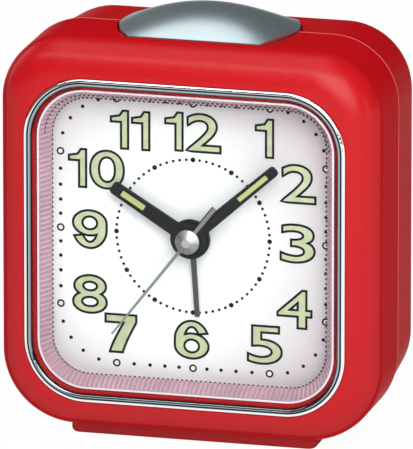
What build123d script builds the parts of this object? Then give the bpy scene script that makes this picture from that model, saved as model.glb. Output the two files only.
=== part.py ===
from build123d import *
import os
from math import cos, pi, radians, sin, tan

# Small square quartz alarm clock, in millimetres. X runs across the dial, Z is up, and the dial
# faces -Y. Depths are measured from the front face of the case towards the back.

# Case
CASE_WIDTH = 61.5
CASE_HEIGHT = 63.3
PARTING = 16.0  # front face to the joint of the two shells
REAR_DEPTH = 17.0  # of the rear shell
CASE_CORNER = 11.9
TOP_CORNER = 10.7  # the front shell's two upper corners are fuller
WALL = 1.8
FRONT_WALL = 2.0
BACK_WALL = 1.8
FRONT_EDGE = 5.5
BACK_EDGE = 4.0
PARTING_EDGE = 0.2
REAR_STEP = 0.2
REAR_DRAFT = 4.8
LIP_HEIGHT = 1.2
LIP_THICKNESS = 0.8
SHELL_FIT = 0.1
FOOT_HEIGHT = 1.85
FOOT_WIDTH = 40.0
FOOT_DEPTH = 20.0
FOOT_SETBACK = 5.2
FOOT_CORNER = 1.4
FOOT_EDGE = 0.8
FOOT_PEG_RADIUS = 1.4
FOOT_PEG_ACROSS = 26.0
FOOT_PEG_ALONG = 11.0

# Window, rounded like all that nests in it
CORNER_CENTRE = 16.2  # hand axis across to the centre of each corner arc, shared by all these outlines
SIDE_BORDER = 4.68  # side of the case to bezel ring
TOP_BORDER = 5.3  # top and bottom of the case to bezel ring, before the drop
WINDOW_DROP = 0.45  # hand axis down to the middle of the window
RING_WIDTH = 1.35
RING_PROUD = 0.3
RING_EDGE = 0.5
LEDGE_WIDTH = 0.5
LEDGE_DEPTH = 0.7
LENS_THICKNESS = 0.9
LENS_EDGE = 0.25
TRIM_FIT = 0.05
SURROUND_FIT = 0.15
SURROUND_LIP = 0.3
SURROUND_SLOPE = 1.37
SURROUND_SLOPE_DEPTH = 2.6
SURROUND_EDGE = 0.15
SURROUND_UNDERCUT = 0.7
SURROUND_FLANGE = 1.3
SURROUND_FLANGE_WIDTH = 0.5
DIAL_DEPTH = 5.6
DIAL_THICKNESS = 0.5

# Fits
RUN = 0.05  # radial clearance of a turning shaft or pipe
SLIDE = 0.3  # clearance round a part that slides
GAP = 0.3  # axial clearance between neighbouring wheels

# Hands, as heights above the dial
ALARM_HAND_HEIGHT = 0.5
HOUR_HAND_HEIGHT = 1.4
MINUTE_HAND_HEIGHT = 2.5
SECOND_HAND_HEIGHT = 3.5
HAND_THICKNESS = 0.5
THIN_HAND_THICKNESS = 0.3
ALARM_HAND_LENGTH = 12.9
HOUR_HAND_LENGTH = 14.9
MINUTE_HAND_LENGTH = 18.9
SECOND_HAND_LENGTH = 20.0
SECOND_TAIL_LENGTH = 7.3
SECOND_TAIL_WIDTH = 1.0
SECOND_TAIL_START = 3.4
HOUR_HAND_WIDTH = 2.4
MINUTE_HAND_WIDTH = 2.0
ALARM_HAND_WIDTH = 0.9
SECOND_HAND_WIDTH = 0.6
HAND_TAPER = 0.85  # tip width over root width
HAND_TIP_ROUND = 0.6
HOUR_HUB = 3.2
MINUTE_HUB = 2.7
ALARM_HUB = 2.9
CAP_RADIUS = 1.95
CAP_HEIGHT = 1.0
CAP_TOP_RADIUS = 0.7
LUME_DEPTH = 0.25
LUME_TIP_GAP = 1.9
HOUR_LUME_LENGTH = 4.3
HOUR_LUME_WIDTH = 0.95
MINUTE_LUME_LENGTH = 6.1
MINUTE_LUME_WIDTH = 0.75
HOUR_ANGLE = 301.5  # degrees clockwise from twelve
MINUTE_ANGLE = 48.4
SECOND_ANGLE = 217.8
ALARM_ANGLE = 176.1

# Pipes of the hands, from the middle outwards
SECOND_ARBOR = 0.45
PIPE_WALL = 0.5

# Movement
PLATE = 1.2
MIDDLE_PLATE = 0.8
HOUSING_WALL = 1.0
HOUSING_SIDE_ROOM = 1.3  # beside the screw posts
COIL_HEADROOM = 1.05
WHEEL_ROOM = 0.2  # under the lowest wheel
HOUSING_ROUND = 2.0
POST_RADIUS = 1.8
POST_STEP = 0.8
POST_INSET = 3.4
EAR_WIDTH = 3.6
EAR_HEIGHT = 10.0
MOTION_THICKNESS = 0.8
TRAIN_THICKNESS = 0.6
PINION_THICKNESS = 1.0
PINION_OVERHANG = 0.15
TRAIN_ARBOR = 0.35
SET_ARBOR = 1.0
MINUTE_STUD = 0.5
MAGNET_RADIUS = 1.6
MAGNET_LENGTH = 1.8
STATOR_THICKNESS = 0.8
STATOR_GAP = 0.4
STATOR_LENGTH = 18.0
STATOR_BAR = 5.6
STATOR_LEG = 3.0
CORE_RISE = 6.2
CORE_WIDTH = 2.4
COIL_RADIUS = 1.7
BOBBIN_FLANGE = 1.9
BOBBIN_FLANGE_THICKNESS = 0.6
COIL_END_GAP = 0.2

# Teeth: counts, modules and proportions in modules (addendum, dedendum, half width at tip, at root)
ROTOR_TEETH = 8
INTERMEDIATE_TEETH = 48
INTERMEDIATE_PINION_TEETH = 8
SECOND_TEETH = 40
SECOND_PINION_TEETH = 8
THIRD_TEETH = 60
THIRD_PINION_TEETH = 8
CENTRE_TEETH = 64
CANNON_TEETH = 10
MINUTE_TEETH = 30
MINUTE_PINION_TEETH = 8
HOUR_TEETH = 32
SET_PINION_TEETH = 12
ALARM_TEETH = 40
ALARM_SET_TEETH = 34
ROTOR_MODULE = 0.2
SECOND_MODULE = 0.27
THIRD_MODULE = 0.19
MOTION_MODULE = 0.3
ADDENDUM = 0.85
DEDENDUM = 1.15
PINION_TIP = 0.36
PINION_ROOT = 0.70
WHEEL_TIP = 0.40
WHEEL_ROOT = 0.90
PINION_LIMIT = 20  # a gear with fewer teeth than this is cut as a pinion

# Directions of the axes from the hand axis or from their partner, degrees anticlockwise from the right
THIRD_DIRECTION = -140.0
INTERMEDIATE_DIRECTION = 90.0
ROTOR_DIRECTION = 60.0
MINUTE_DIRECTION = -30.0
SET_DIRECTION = 23.0
ALARM_SET_DIRECTION = 183.0

# Top button
BUTTON_HALF_LENGTH = 14.2
BUTTON_FRONT = 6.0  # front of the case to the front of the button
BUTTON_STRAIGHT = 10.7
BUTTON_CREST = 3.7
BUTTON_RIM = 0.1
BUTTON_END_RISE = 0.15
BUTTON_SHELL = 1.2
BUTTON_FLANGE = 0.9
BUTTON_FLANGE_THICKNESS = 0.8
BUTTON_TRAVEL = 1.5
PLUNGER_RADIUS = 1.6
LEAF_THICKNESS = 0.3
LEAF_WIDTH = 4.0
LEAF_LENGTH = 12.0
LEAF_SPARE = 1.1  # room left under the leaf with the key fully pressed

# Back of the case
KNOB_RADIUS = 4.6
KNOB_HEIGHT = 2.7
KNOB_CLEARANCE = 0.3
KNOB_FLUTES = 18
KNOB_FLUTE_RADIUS = 0.55
KNOB_EDGE = 0.4
KNOB_BOSS = 2.1
KNOB_BOSS_DEPTH = 2.4
SWITCH_TRAVEL = 4.0
SWITCH_STEM_WIDTH = 3.6
SWITCH_STEM_HEIGHT = 2.2
SWITCH_CAP_WIDTH = 5.0
SWITCH_CAP_HEIGHT = 4.2
SWITCH_CAP_THICKNESS = 1.3
SWITCH_FLANGE_THICKNESS = 0.8
SWITCH_GAP = 0.2
SWITCH_RIBS = 5
SOUNDER_RADIUS = 8.5
SOUNDER_THICKNESS = 0.6
SOUNDER_SEAT = 0.8
SOUNDER_RISE = 14.5
SOUND_SLOTS = 5
SOUND_SLOT_PITCH = 2.4
SOUND_SLOT_WIDTH = 1.0
SOUND_SLOT_LENGTH = 9.0
SCREW_POST = 2.1
SCREW_RADIUS = 0.9
SCREW_HEAD_RADIUS = 1.7
SCREW_HEAD_HEIGHT = 1.1
SCREW_SLOT = 0.4
SCREW_SLOT_DEPTH = 0.5
SCREW_BITE = 5.0
SCREW_SEAT_DEPTH = 2.5
POST_END = 1.5

# Battery bay
BATTERY_RADIUS = 5.25
BATTERY_LENGTH = 44.5
BATTERY_NUB_RADIUS = 1.9
BATTERY_NUB = 0.8
BATTERY_CLEARANCE = 0.45  # movement to battery bay
BATTERY_FIT = 0.3
CONTACT_THICKNESS = 0.4
CONTACT_WIDTH = 7.0
CONTACT_SPACE = 1.6
TUB_WALL = 1.0
DOOR_THICKNESS = 1.0
DOOR_MARGIN = 0.8
DOOR_CORNER = 2.4
DOOR_FIT = 0.15
DOOR_RIM = 1.2
DOOR_RIM_WALL = 0.8
DOOR_GRIP_RADIUS = 3.2
DOOR_GRIP_DEPTH = 0.5

# Circuit
BOARD_THICKNESS = 1.0
BOARD_SIDE_ROOM = 1.05  # beside the screw posts
BOARD_HEIGHT = 13.0
BOARD_RISE = 13.5
CRYSTAL_RADIUS = 1.0
CRYSTAL_LENGTH = 6.0
CRYSTAL_RISE = 17.0
CHIP_SIZE = 4.5
CHIP_THICKNESS = 1.1
CHIP_RISE = 10.5
SEAT = 0.02  # a round piece lying on a flat one

# Derived places
CASE_DEPTH = PARTING + REAR_DEPTH
FRONT_Y = -(CASE_DEPTH + KNOB_CLEARANCE + KNOB_HEIGHT - RING_PROUD) / 2
AXIS_Z = FOOT_HEIGHT + CASE_HEIGHT / 2
CASE_TOP = FOOT_HEIGHT + CASE_HEIGHT
PARTING_Y = FRONT_Y + PARTING
INNER_TOP = CASE_HEIGHT / 2 - WALL
RING_OUTER = CASE_WIDTH / 2 - SIDE_BORDER
WINDOW_STRETCH = CASE_HEIGHT / 2 - TOP_BORDER - RING_OUTER  # half height less half width
RING_INNER = RING_OUTER - RING_WIDTH
OPENING = RING_INNER - LEDGE_WIDTH
SURROUND_INNER = OPENING - SURROUND_FIT - SURROUND_LIP - SURROUND_SLOPE
FLANGE_HALF = OPENING + SURROUND_FLANGE_WIDTH
DIAL_HALF = OPENING - SURROUND_FIT
SCREW_OFFSET = CORNER_CENTRE + (FLANGE_HALF - CORNER_CENTRE + SHELL_FIT + SCREW_POST) * sin(radians(45))
BOSS_X = CASE_WIDTH / 2 - WALL - SCREW_HEAD_RADIUS - SLIDE
CASE_SCREWS = [(side * SCREW_OFFSET, SCREW_OFFSET + WINDOW_STRETCH) for side in (-1, 1)]
HOUSING_HALF_WIDTH = SCREW_OFFSET - SCREW_POST - HOUSING_SIDE_ROOM
BOARD_WIDTH = 2 * (HOUSING_HALF_WIDTH - POST_INSET - POST_RADIUS - BOARD_SIDE_ROOM)

MOVEMENT_FRONT = DIAL_DEPTH + DIAL_THICKNESS
ALARM_FRONT = MOVEMENT_FRONT + PLATE + GAP
HOUR_FRONT = ALARM_FRONT + MOTION_THICKNESS + GAP
CANNON_FRONT = HOUR_FRONT + MOTION_THICKNESS + GAP
MIDDLE_FRONT = CANNON_FRONT + PINION_THICKNESS + GAP
CENTRE_FRONT = MIDDLE_FRONT + MIDDLE_PLATE + GAP
THIRD_FRONT = CENTRE_FRONT + TRAIN_THICKNESS + 2 * GAP
SECOND_FRONT = THIRD_FRONT + TRAIN_THICKNESS + 2 * GAP
INTERMEDIATE_FRONT = SECOND_FRONT + TRAIN_THICKNESS + 2 * GAP
MAGNET_FRONT = INTERMEDIATE_FRONT + TRAIN_THICKNESS + 2 * GAP
REAR_PLATE_FRONT = MAGNET_FRONT + MAGNET_LENGTH + GAP
MOVEMENT_BACK = REAR_PLATE_FRONT + PLATE
STATOR_FRONT = MAGNET_FRONT + (MAGNET_LENGTH - STATOR_THICKNESS) / 2

CANNON_BORE = SECOND_ARBOR + RUN
CANNON_PIPE = CANNON_BORE + PIPE_WALL
HOUR_BORE = CANNON_PIPE + RUN
HOUR_PIPE = HOUR_BORE + PIPE_WALL
ALARM_BORE = HOUR_PIPE + RUN
ALARM_PIPE = ALARM_BORE + PIPE_WALL
BUSH = ALARM_PIPE + RUN

BACK_INNER = CASE_DEPTH - BACK_WALL
BATTERY_DEPTH = CASE_DEPTH - DOOR_THICKNESS - BATTERY_FIT - BATTERY_RADIUS
TUB_FLOOR = BATTERY_DEPTH - BATTERY_RADIUS - BATTERY_FIT - TUB_WALL
BAY_HALF_LENGTH = BATTERY_LENGTH / 2 + CONTACT_SPACE
BAY_HALF_HEIGHT = BATTERY_RADIUS + BATTERY_FIT
HATCH_HALF_LENGTH = BATTERY_LENGTH / 2 + BATTERY_FIT
BUTTON_HALF_WIDTH = PARTING - BUTTON_FRONT
BUTTON_BACK_RIM = BUTTON_RIM - REAR_STEP - BUTTON_HALF_WIDTH * tan(radians(REAR_DRAFT))
FLANGE_DROP = (BUTTON_HALF_WIDTH + BUTTON_FLANGE) * tan(radians(REAR_DRAFT))
FLANGE_TOP = CASE_TOP - REAR_STEP - WALL - FLANGE_DROP - SHELL_FIT
FLANGE_BASE = FLANGE_TOP - BUTTON_FLANGE_THICKNESS
ARBOR_END = CASE_DEPTH + KNOB_CLEARANCE + KNOB_HEIGHT / 2
FOOT_MIDDLE = FRONT_Y + FOOT_SETBACK + FOOT_DEPTH / 2
SWITCH_AT = (-SWITCH_TRAVEL / 2, 0)


def polar(distance, degrees):
    """Point at a distance and direction in the plane of the dial."""
    return (distance * cos(radians(degrees)), distance * sin(radians(degrees)))


def centre_distance(teeth_a, teeth_b, module):
    return (teeth_a + teeth_b) * module / 2


def mesh_phase(direction, phase, teeth, partner_teeth):
    """Turn that puts a partner gear's gaps on the teeth of a gear that has a tooth at phase degrees."""
    offset = (direction - phase) % (360 / teeth)
    return direction + 180 + offset * teeth / partner_teeth + 180 / partner_teeth


def gear_points(teeth, module):
    """Straight-flanked teeth, one on the right-hand axis, thin enough to leave backlash."""
    tip, root = (PINION_TIP, PINION_ROOT) if teeth < PINION_LIMIT else (WHEEL_TIP, WHEEL_ROOT)
    outer = (teeth / 2 + ADDENDUM) * module
    inner = (teeth / 2 - DEDENDUM) * module
    corners = ((inner, -root), (outer, -tip), (outer, tip), (inner, root))
    points = []
    for tooth in range(teeth):
        for radius, half_width in corners:
            angle = 360 * tooth / teeth + half_width * module / radius * 180 / pi
            points.append(polar(radius, angle))
    return points


def face_plane(depth, at=(0, 0), turn=0):
    """Plane square to the hand axis, facing the front, at a depth behind the front face."""
    right = (cos(radians(turn)), 0, sin(radians(turn)))
    return Plane(origin=(at[0], FRONT_Y + depth, AXIS_Z + at[1]), x_dir=right, z_dir=(0, -1, 0))


def side_plane(depth, at):
    """Plane square to the width of the case, facing right, with its own x axis towards the back."""
    return Plane(origin=(at[0], FRONT_Y + depth, AXIS_Z + at[1]), x_dir=(0, 1, 0), z_dir=(1, 0, 0))


def top_plane(height):
    """Level plane centred over the parting line."""
    return Plane(origin=(0, PARTING_Y, height))


def case_outline(inset=0, mode=Mode.ADD):
    """Rounded outline of the case, drawn in by an even margin."""
    RectangleRounded(CASE_WIDTH - 2 * inset, CASE_HEIGHT - 2 * inset, CASE_CORNER - inset, mode=mode)


def front_outline(inset=0):
    """Outline of the front shell: that of the case with fuller upper corners."""
    case_outline(inset)
    with Locations((0, CASE_HEIGHT / 4 - inset)):
        RectangleRounded(CASE_WIDTH - 2 * inset, CASE_HEIGHT / 2, TOP_CORNER - inset)


def outline(half, mode=Mode.ADD):
    """Rounded outline of this half width on the shared corner centres of the window."""
    with Locations((0, -WINDOW_DROP)):
        RectangleRounded(2 * half, 2 * (half + WINDOW_STRETCH), half - CORNER_CENTRE, mode=mode)


# Axes of the movement
THIRD_DISTANCE = centre_distance(SECOND_PINION_TEETH, THIRD_TEETH, THIRD_MODULE)
CENTRE_MODULE = 2 * THIRD_DISTANCE / (THIRD_PINION_TEETH + CENTRE_TEETH)
THIRD_AT = polar(THIRD_DISTANCE, THIRD_DIRECTION)
INTERMEDIATE_AT = polar(
    centre_distance(INTERMEDIATE_PINION_TEETH, SECOND_TEETH, SECOND_MODULE), INTERMEDIATE_DIRECTION
)
ROTOR_STEP = polar(centre_distance(ROTOR_TEETH, INTERMEDIATE_TEETH, ROTOR_MODULE), ROTOR_DIRECTION)
ROTOR_AT = (INTERMEDIATE_AT[0] + ROTOR_STEP[0], INTERMEDIATE_AT[1] + ROTOR_STEP[1])
CORE_AT = (ROTOR_AT[0], ROTOR_AT[1] + CORE_RISE)
MINUTE_AT = polar(centre_distance(CANNON_TEETH, MINUTE_TEETH, MOTION_MODULE), MINUTE_DIRECTION)
HOUR_MODULE = MOTION_MODULE * (CANNON_TEETH + MINUTE_TEETH) / (MINUTE_PINION_TEETH + HOUR_TEETH)
SET_STEP = polar(centre_distance(SET_PINION_TEETH, MINUTE_TEETH, MOTION_MODULE), SET_DIRECTION)
SET_AT = (MINUTE_AT[0] + SET_STEP[0], MINUTE_AT[1] + SET_STEP[1])
ALARM_SET_AT = polar(centre_distance(ALARM_TEETH, ALARM_SET_TEETH, MOTION_MODULE), ALARM_SET_DIRECTION)

# Height of the movement, and what stands above and below it
THIRD_RADIUS = (THIRD_TEETH / 2 + ADDENDUM) * THIRD_MODULE
HOUSING_TOP = CORE_AT[1] + BOBBIN_FLANGE + COIL_HEADROOM + HOUSING_WALL
HOUSING_BOTTOM = THIRD_RADIUS - THIRD_AT[1] + WHEEL_ROOM + HOUSING_WALL
HOUSING_TOP_Z = AXIS_Z + HOUSING_TOP
PLUNGER_END = HOUSING_TOP_Z + BUTTON_TRAVEL + LEAF_SPARE
BATTERY_DROP = HOUSING_BOTTOM + BATTERY_CLEARANCE + TUB_WALL + BAY_HALF_HEIGHT

os.makedirs("parts", exist_ok=True)


def finish(builder, name):
    builder.part.label = name
    export_step(builder.part, f"parts/{name}.step")


# Outer blocks of the two shells, which the shells and the foot share
with BuildPart() as front_block:
    with BuildSketch(face_plane(0)):
        front_outline()
    extrude(amount=-PARTING)
    fillet(front_block.faces().sort_by(Axis.Y)[0].edges(), FRONT_EDGE)
    chamfer(front_block.faces().sort_by(Axis.Y)[-1].edges(), PARTING_EDGE)

with BuildPart() as rear_block:
    with BuildSketch(face_plane(PARTING)):
        case_outline(REAR_STEP)
    extrude(amount=-REAR_DEPTH, taper=REAR_DRAFT)
    fillet(rear_block.faces().sort_by(Axis.Y)[-1].edges(), BACK_EDGE)


def button_outline(grow=0):
    """Plan of the top button: straight long sides and bowed ends."""
    half_width = BUTTON_HALF_WIDTH + grow
    straight = BUTTON_STRAIGHT + grow
    tip = BUTTON_HALF_LENGTH + grow
    with BuildLine() as edge:
        Line((-straight, -half_width), (straight, -half_width))
        ThreePointArc((straight, -half_width), (tip, 0), (straight, half_width))
        Line((straight, half_width), (-straight, half_width))
        ThreePointArc((-straight, half_width), (-tip, 0), (-straight, -half_width))
    return edge.line


def make_front_case():
    """Front shell: window with a ledge for lens and ring, screw posts, bosses for the movement."""
    with BuildPart() as hollow:
        with BuildSketch(face_plane(FRONT_WALL)):
            front_outline(WALL)
        extrude(amount=-(PARTING - FRONT_WALL))
        fillet(hollow.faces().sort_by(Axis.Y)[0].edges(), FRONT_EDGE - WALL)
    with BuildPart() as shell:
        add(front_block.part)
        add(hollow.part, mode=Mode.SUBTRACT)
        with BuildSketch(face_plane(FRONT_WALL)):
            with Locations(*CASE_SCREWS):
                Circle(SCREW_POST)
        extrude(amount=-(PARTING - POST_END - FRONT_WALL))
        with BuildSketch(face_plane(FRONT_WALL)):
            with Locations((-BOSS_X, EAR_HEIGHT), (BOSS_X, EAR_HEIGHT)):
                Circle(POST_RADIUS)
        extrude(amount=-(MOVEMENT_FRONT - FRONT_WALL))
        with BuildSketch(face_plane(-RING_PROUD)):
            outline(OPENING)
        extrude(amount=-PARTING, mode=Mode.SUBTRACT)
        with BuildSketch(face_plane(0)):
            outline(RING_OUTER + TRIM_FIT)
        extrude(amount=-LEDGE_DEPTH, mode=Mode.SUBTRACT)
        with BuildSketch(face_plane(PARTING - POST_END)):
            with Locations(*CASE_SCREWS):
                Circle(SCREW_RADIUS)
        extrude(amount=SCREW_BITE, mode=Mode.SUBTRACT)
        with BuildSketch(face_plane(MOVEMENT_FRONT)):
            with Locations((-BOSS_X, EAR_HEIGHT), (BOSS_X, EAR_HEIGHT)):
                Circle(SCREW_RADIUS)
        extrude(amount=MOVEMENT_FRONT - FRONT_WALL, mode=Mode.SUBTRACT)
        with BuildSketch(top_plane(CASE_TOP - WALL)):
            make_face(button_outline(SLIDE))
        extrude(amount=WALL, mode=Mode.SUBTRACT)
        with BuildSketch(Plane.XY.offset(FOOT_HEIGHT)):
            with Locations((0, FOOT_MIDDLE)):
                with GridLocations(FOOT_PEG_ACROSS, FOOT_PEG_ALONG, 2, 2):
                    Circle(FOOT_PEG_RADIUS + RUN)
        extrude(amount=WALL, mode=Mode.SUBTRACT)
    return shell


def make_rear_case():
    """Rear shell: battery bay, knob holes, switch slot, sounder seat and slots, screw tubes."""
    with BuildPart() as fittings:
        with BuildSketch(face_plane(TUB_FLOOR, (0, -BATTERY_DROP))):
            Rectangle(2 * (BAY_HALF_LENGTH + TUB_WALL), 2 * (BAY_HALF_HEIGHT + TUB_WALL))
        extrude(amount=-(BACK_INNER - TUB_FLOOR))
        with BuildSketch(face_plane(BACK_INNER - SOUNDER_SEAT, (0, SOUNDER_RISE))):
            Circle(SOUNDER_RADIUS + TUB_WALL)
            Circle(SOUNDER_RADIUS - TUB_WALL, mode=Mode.SUBTRACT)
        extrude(amount=-SOUNDER_SEAT)
        with BuildSketch(face_plane(PARTING)):
            with Locations(*CASE_SCREWS):
                Circle(SCREW_POST)
        extrude(amount=-(BACK_INNER - PARTING))
        add(rear_block.part, mode=Mode.INTERSECT)
    with BuildPart() as shell:
        add(rear_block.part)
        with BuildSketch(face_plane(PARTING)):
            case_outline(REAR_STEP + WALL)
        extrude(amount=-(REAR_DEPTH - BACK_WALL), taper=REAR_DRAFT, mode=Mode.SUBTRACT)
        add(fittings.part)
        # Lip that locates the two shells, left open under the button
        with BuildSketch(face_plane(PARTING - LIP_HEIGHT)):
            case_outline(WALL + SHELL_FIT)
            case_outline(WALL + SHELL_FIT + LIP_THICKNESS, mode=Mode.SUBTRACT)
            with Locations((0, INNER_TOP)):
                Rectangle(2 * (BUTTON_HALF_LENGTH + BUTTON_FLANGE + 2 * SLIDE), 2 * WALL, mode=Mode.SUBTRACT)
            with Locations(*CASE_SCREWS):
                Circle(SCREW_POST + SLIDE, mode=Mode.SUBTRACT)
        extrude(amount=-(LIP_HEIGHT + LIP_THICKNESS))
        with BuildSketch(face_plane(PARTING - POST_END)):
            with Locations(*CASE_SCREWS):
                Circle(SCREW_POST)
            case_outline(WALL + SHELL_FIT, mode=Mode.INTERSECT)
        extrude(amount=-POST_END)
        with BuildSketch(face_plane(TUB_FLOOR + TUB_WALL, (0, -BATTERY_DROP))):
            Rectangle(2 * BAY_HALF_LENGTH, 2 * BAY_HALF_HEIGHT)
        extrude(amount=-(BACK_INNER - TUB_FLOOR - TUB_WALL), mode=Mode.SUBTRACT)
        with BuildSketch(face_plane(BACK_INNER, (0, -BATTERY_DROP))):
            Rectangle(2 * HATCH_HALF_LENGTH, 2 * BAY_HALF_HEIGHT)
        extrude(amount=-BACK_WALL, mode=Mode.SUBTRACT)
        with BuildSketch(face_plane(CASE_DEPTH - DOOR_THICKNESS, (0, -BATTERY_DROP))):
            door_outline(DOOR_FIT)
        extrude(amount=-DOOR_THICKNESS, mode=Mode.SUBTRACT)
        with BuildSketch(face_plane(BACK_INNER)):
            with Locations(SET_AT, ALARM_SET_AT):
                Circle(KNOB_BOSS + SLIDE)
            with Locations((SWITCH_AT[0] + SWITCH_TRAVEL / 2, SWITCH_AT[1])):
                SlotOverall(
                    SWITCH_STEM_WIDTH + SWITCH_TRAVEL + 2 * SLIDE + SWITCH_STEM_HEIGHT,
                    SWITCH_STEM_HEIGHT + 2 * SLIDE,
                )
            with Locations((0, SOUNDER_RISE)):
                with GridLocations(SOUND_SLOT_PITCH, 1, SOUND_SLOTS, 1):
                    SlotOverall(SOUND_SLOT_LENGTH, SOUND_SLOT_WIDTH, rotation=90)
        extrude(amount=-BACK_WALL, mode=Mode.SUBTRACT)
        with BuildSketch(face_plane(PARTING - POST_END)):
            with Locations(*CASE_SCREWS):
                Circle(SCREW_RADIUS + RUN)
        extrude(amount=-(REAR_DEPTH + POST_END), mode=Mode.SUBTRACT)
        with BuildSketch(face_plane(CASE_DEPTH - SCREW_SEAT_DEPTH)):
            with Locations(*CASE_SCREWS):
                Circle(SCREW_HEAD_RADIUS + RUN)
        extrude(amount=-SCREW_SEAT_DEPTH, mode=Mode.SUBTRACT)
        with BuildSketch(top_plane(FLANGE_TOP)):
            make_face(button_outline(SLIDE))
        extrude(amount=CASE_TOP - FLANGE_TOP, mode=Mode.SUBTRACT)
        with BuildSketch(Plane.XY.offset(FOOT_HEIGHT)):
            with Locations((0, FOOT_MIDDLE)):
                with GridLocations(FOOT_PEG_ACROSS, FOOT_PEG_ALONG, 2, 2):
                    Circle(FOOT_PEG_RADIUS + RUN)
        extrude(amount=2 * WALL, mode=Mode.SUBTRACT)
    return shell


def make_foot():
    """Foot slab under both shells, pegged into them, its top following their undersides."""
    with BuildPart() as foot:
        with BuildSketch(Plane((0, FOOT_MIDDLE, 0))):
            RectangleRounded(FOOT_WIDTH, FOOT_DEPTH, FOOT_CORNER)
        extrude(amount=FOOT_HEIGHT + WALL)
        fillet(foot.faces().sort_by(Axis.Z)[0].edges(), FOOT_EDGE)
        add(front_block.part, mode=Mode.SUBTRACT)
        add(rear_block.part, mode=Mode.SUBTRACT)
        with BuildSketch(Plane((0, FOOT_MIDDLE, FOOT_HEIGHT / 2))):
            with GridLocations(FOOT_PEG_ACROSS, FOOT_PEG_ALONG, 2, 2):
                Circle(FOOT_PEG_RADIUS)
        extrude(amount=FOOT_HEIGHT / 2 + WALL)
    return foot


def door_outline(grow=0):
    """Outline of the battery door."""
    RectangleRounded(
        2 * (HATCH_HALF_LENGTH + DOOR_MARGIN + grow),
        2 * (BAY_HALF_HEIGHT + DOOR_MARGIN + grow),
        DOOR_CORNER + grow,
    )


def make_bezel_ring():
    """Plated ring round the lens, seated on the ledge of the window."""
    with BuildPart() as ring:
        with BuildSketch(face_plane(LEDGE_DEPTH)):
            outline(RING_OUTER)
            outline(RING_INNER, mode=Mode.SUBTRACT)
        extrude(amount=LEDGE_DEPTH + RING_PROUD)
        fillet(ring.faces().sort_by(Axis.Y)[0].edges(), RING_EDGE)
    return ring


def make_lens():
    """Flat clear lens inside the ring."""
    with BuildPart() as pane:
        with BuildSketch(face_plane(LEDGE_DEPTH)):
            outline(RING_INNER - TRIM_FIT)
        extrude(amount=LENS_THICKNESS)
        chamfer(pane.faces().sort_by(Axis.Y)[0].edges(), LENS_EDGE)
    return pane


def make_dial_surround():
    """Sloping frame between the lens and the dial, flanged behind the window and hollowed behind its edge."""
    slope_half = OPENING - SURROUND_FIT - SURROUND_LIP
    slope_end = LEDGE_DEPTH + TRIM_FIT + SURROUND_SLOPE_DEPTH
    with BuildPart() as frame:
        with BuildSketch(face_plane(LEDGE_DEPTH + TRIM_FIT)):
            outline(OPENING - SURROUND_FIT)
        extrude(amount=-(DIAL_DEPTH - LEDGE_DEPTH - TRIM_FIT))
        with BuildSketch(face_plane(FRONT_WALL)):
            outline(FLANGE_HALF)
        extrude(amount=-SURROUND_FLANGE)
        with BuildSketch(face_plane(LEDGE_DEPTH + TRIM_FIT)):
            outline(slope_half)
        with BuildSketch(face_plane(slope_end)):
            outline(SURROUND_INNER)
        loft(mode=Mode.SUBTRACT)
        with BuildSketch(face_plane(slope_end)):
            outline(SURROUND_INNER)
        extrude(amount=-SURROUND_EDGE, mode=Mode.SUBTRACT)
        with BuildSketch(face_plane(slope_end + SURROUND_EDGE)):
            outline(SURROUND_INNER + SURROUND_UNDERCUT)
        extrude(amount=-DIAL_DEPTH, mode=Mode.SUBTRACT)
    return frame


def make_dial():
    with BuildPart() as plate:
        with BuildSketch(face_plane(DIAL_DEPTH)):
            outline(DIAL_HALF)
            Circle(BUSH, mode=Mode.SUBTRACT)
        extrude(amount=-DIAL_THICKNESS)
    return plate


def make_bar_hand(height, angle, length, width, hub, bore, lume_length, lume_width):
    """Hour or minute hand: a tapered bar with a round hub and a pocket for its luminous inlay."""
    depth = DIAL_DEPTH - height
    tip = width * HAND_TAPER / 2
    with BuildPart() as hand:
        with BuildSketch(face_plane(depth, turn=-angle)) as profile:
            Polygon((-width / 2, 0), (width / 2, 0), (tip, length), (-tip, length))
            fillet(profile.vertices().group_by(Axis.Y)[-1], HAND_TIP_ROUND)
            Circle(hub)
            Circle(bore, mode=Mode.SUBTRACT)
        extrude(amount=HAND_THICKNESS)
        with BuildSketch(face_plane(depth - HAND_THICKNESS, turn=-angle)):
            lume_outline(length, lume_length, lume_width)
        extrude(amount=-LUME_DEPTH, mode=Mode.SUBTRACT)
    return hand


def lume_outline(length, lume_length, lume_width):
    with Locations((0, length - LUME_TIP_GAP - lume_length / 2)):
        Rectangle(lume_width, lume_length)


def make_lume(height, angle, length, lume_length, lume_width):
    """Luminous inlay that fills a hand's pocket."""
    with BuildPart() as inlay:
        with BuildSketch(face_plane(DIAL_DEPTH - height - HAND_THICKNESS, turn=-angle)):
            lume_outline(length, lume_length, lume_width)
        extrude(amount=-LUME_DEPTH)
    return inlay


def make_alarm_hand():
    """Thin tapered alarm hand."""
    tip = ALARM_HAND_WIDTH * HAND_TAPER / 2
    with BuildPart() as hand:
        with BuildSketch(face_plane(DIAL_DEPTH - ALARM_HAND_HEIGHT, turn=-ALARM_ANGLE)):
            Polygon(
                (-ALARM_HAND_WIDTH / 2, 0),
                (ALARM_HAND_WIDTH / 2, 0),
                (tip, ALARM_HAND_LENGTH),
                (-tip, ALARM_HAND_LENGTH),
            )
            Circle(ALARM_HUB)
            Circle(ALARM_PIPE, mode=Mode.SUBTRACT)
        extrude(amount=THIN_HAND_THICKNESS)
    return hand


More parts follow.
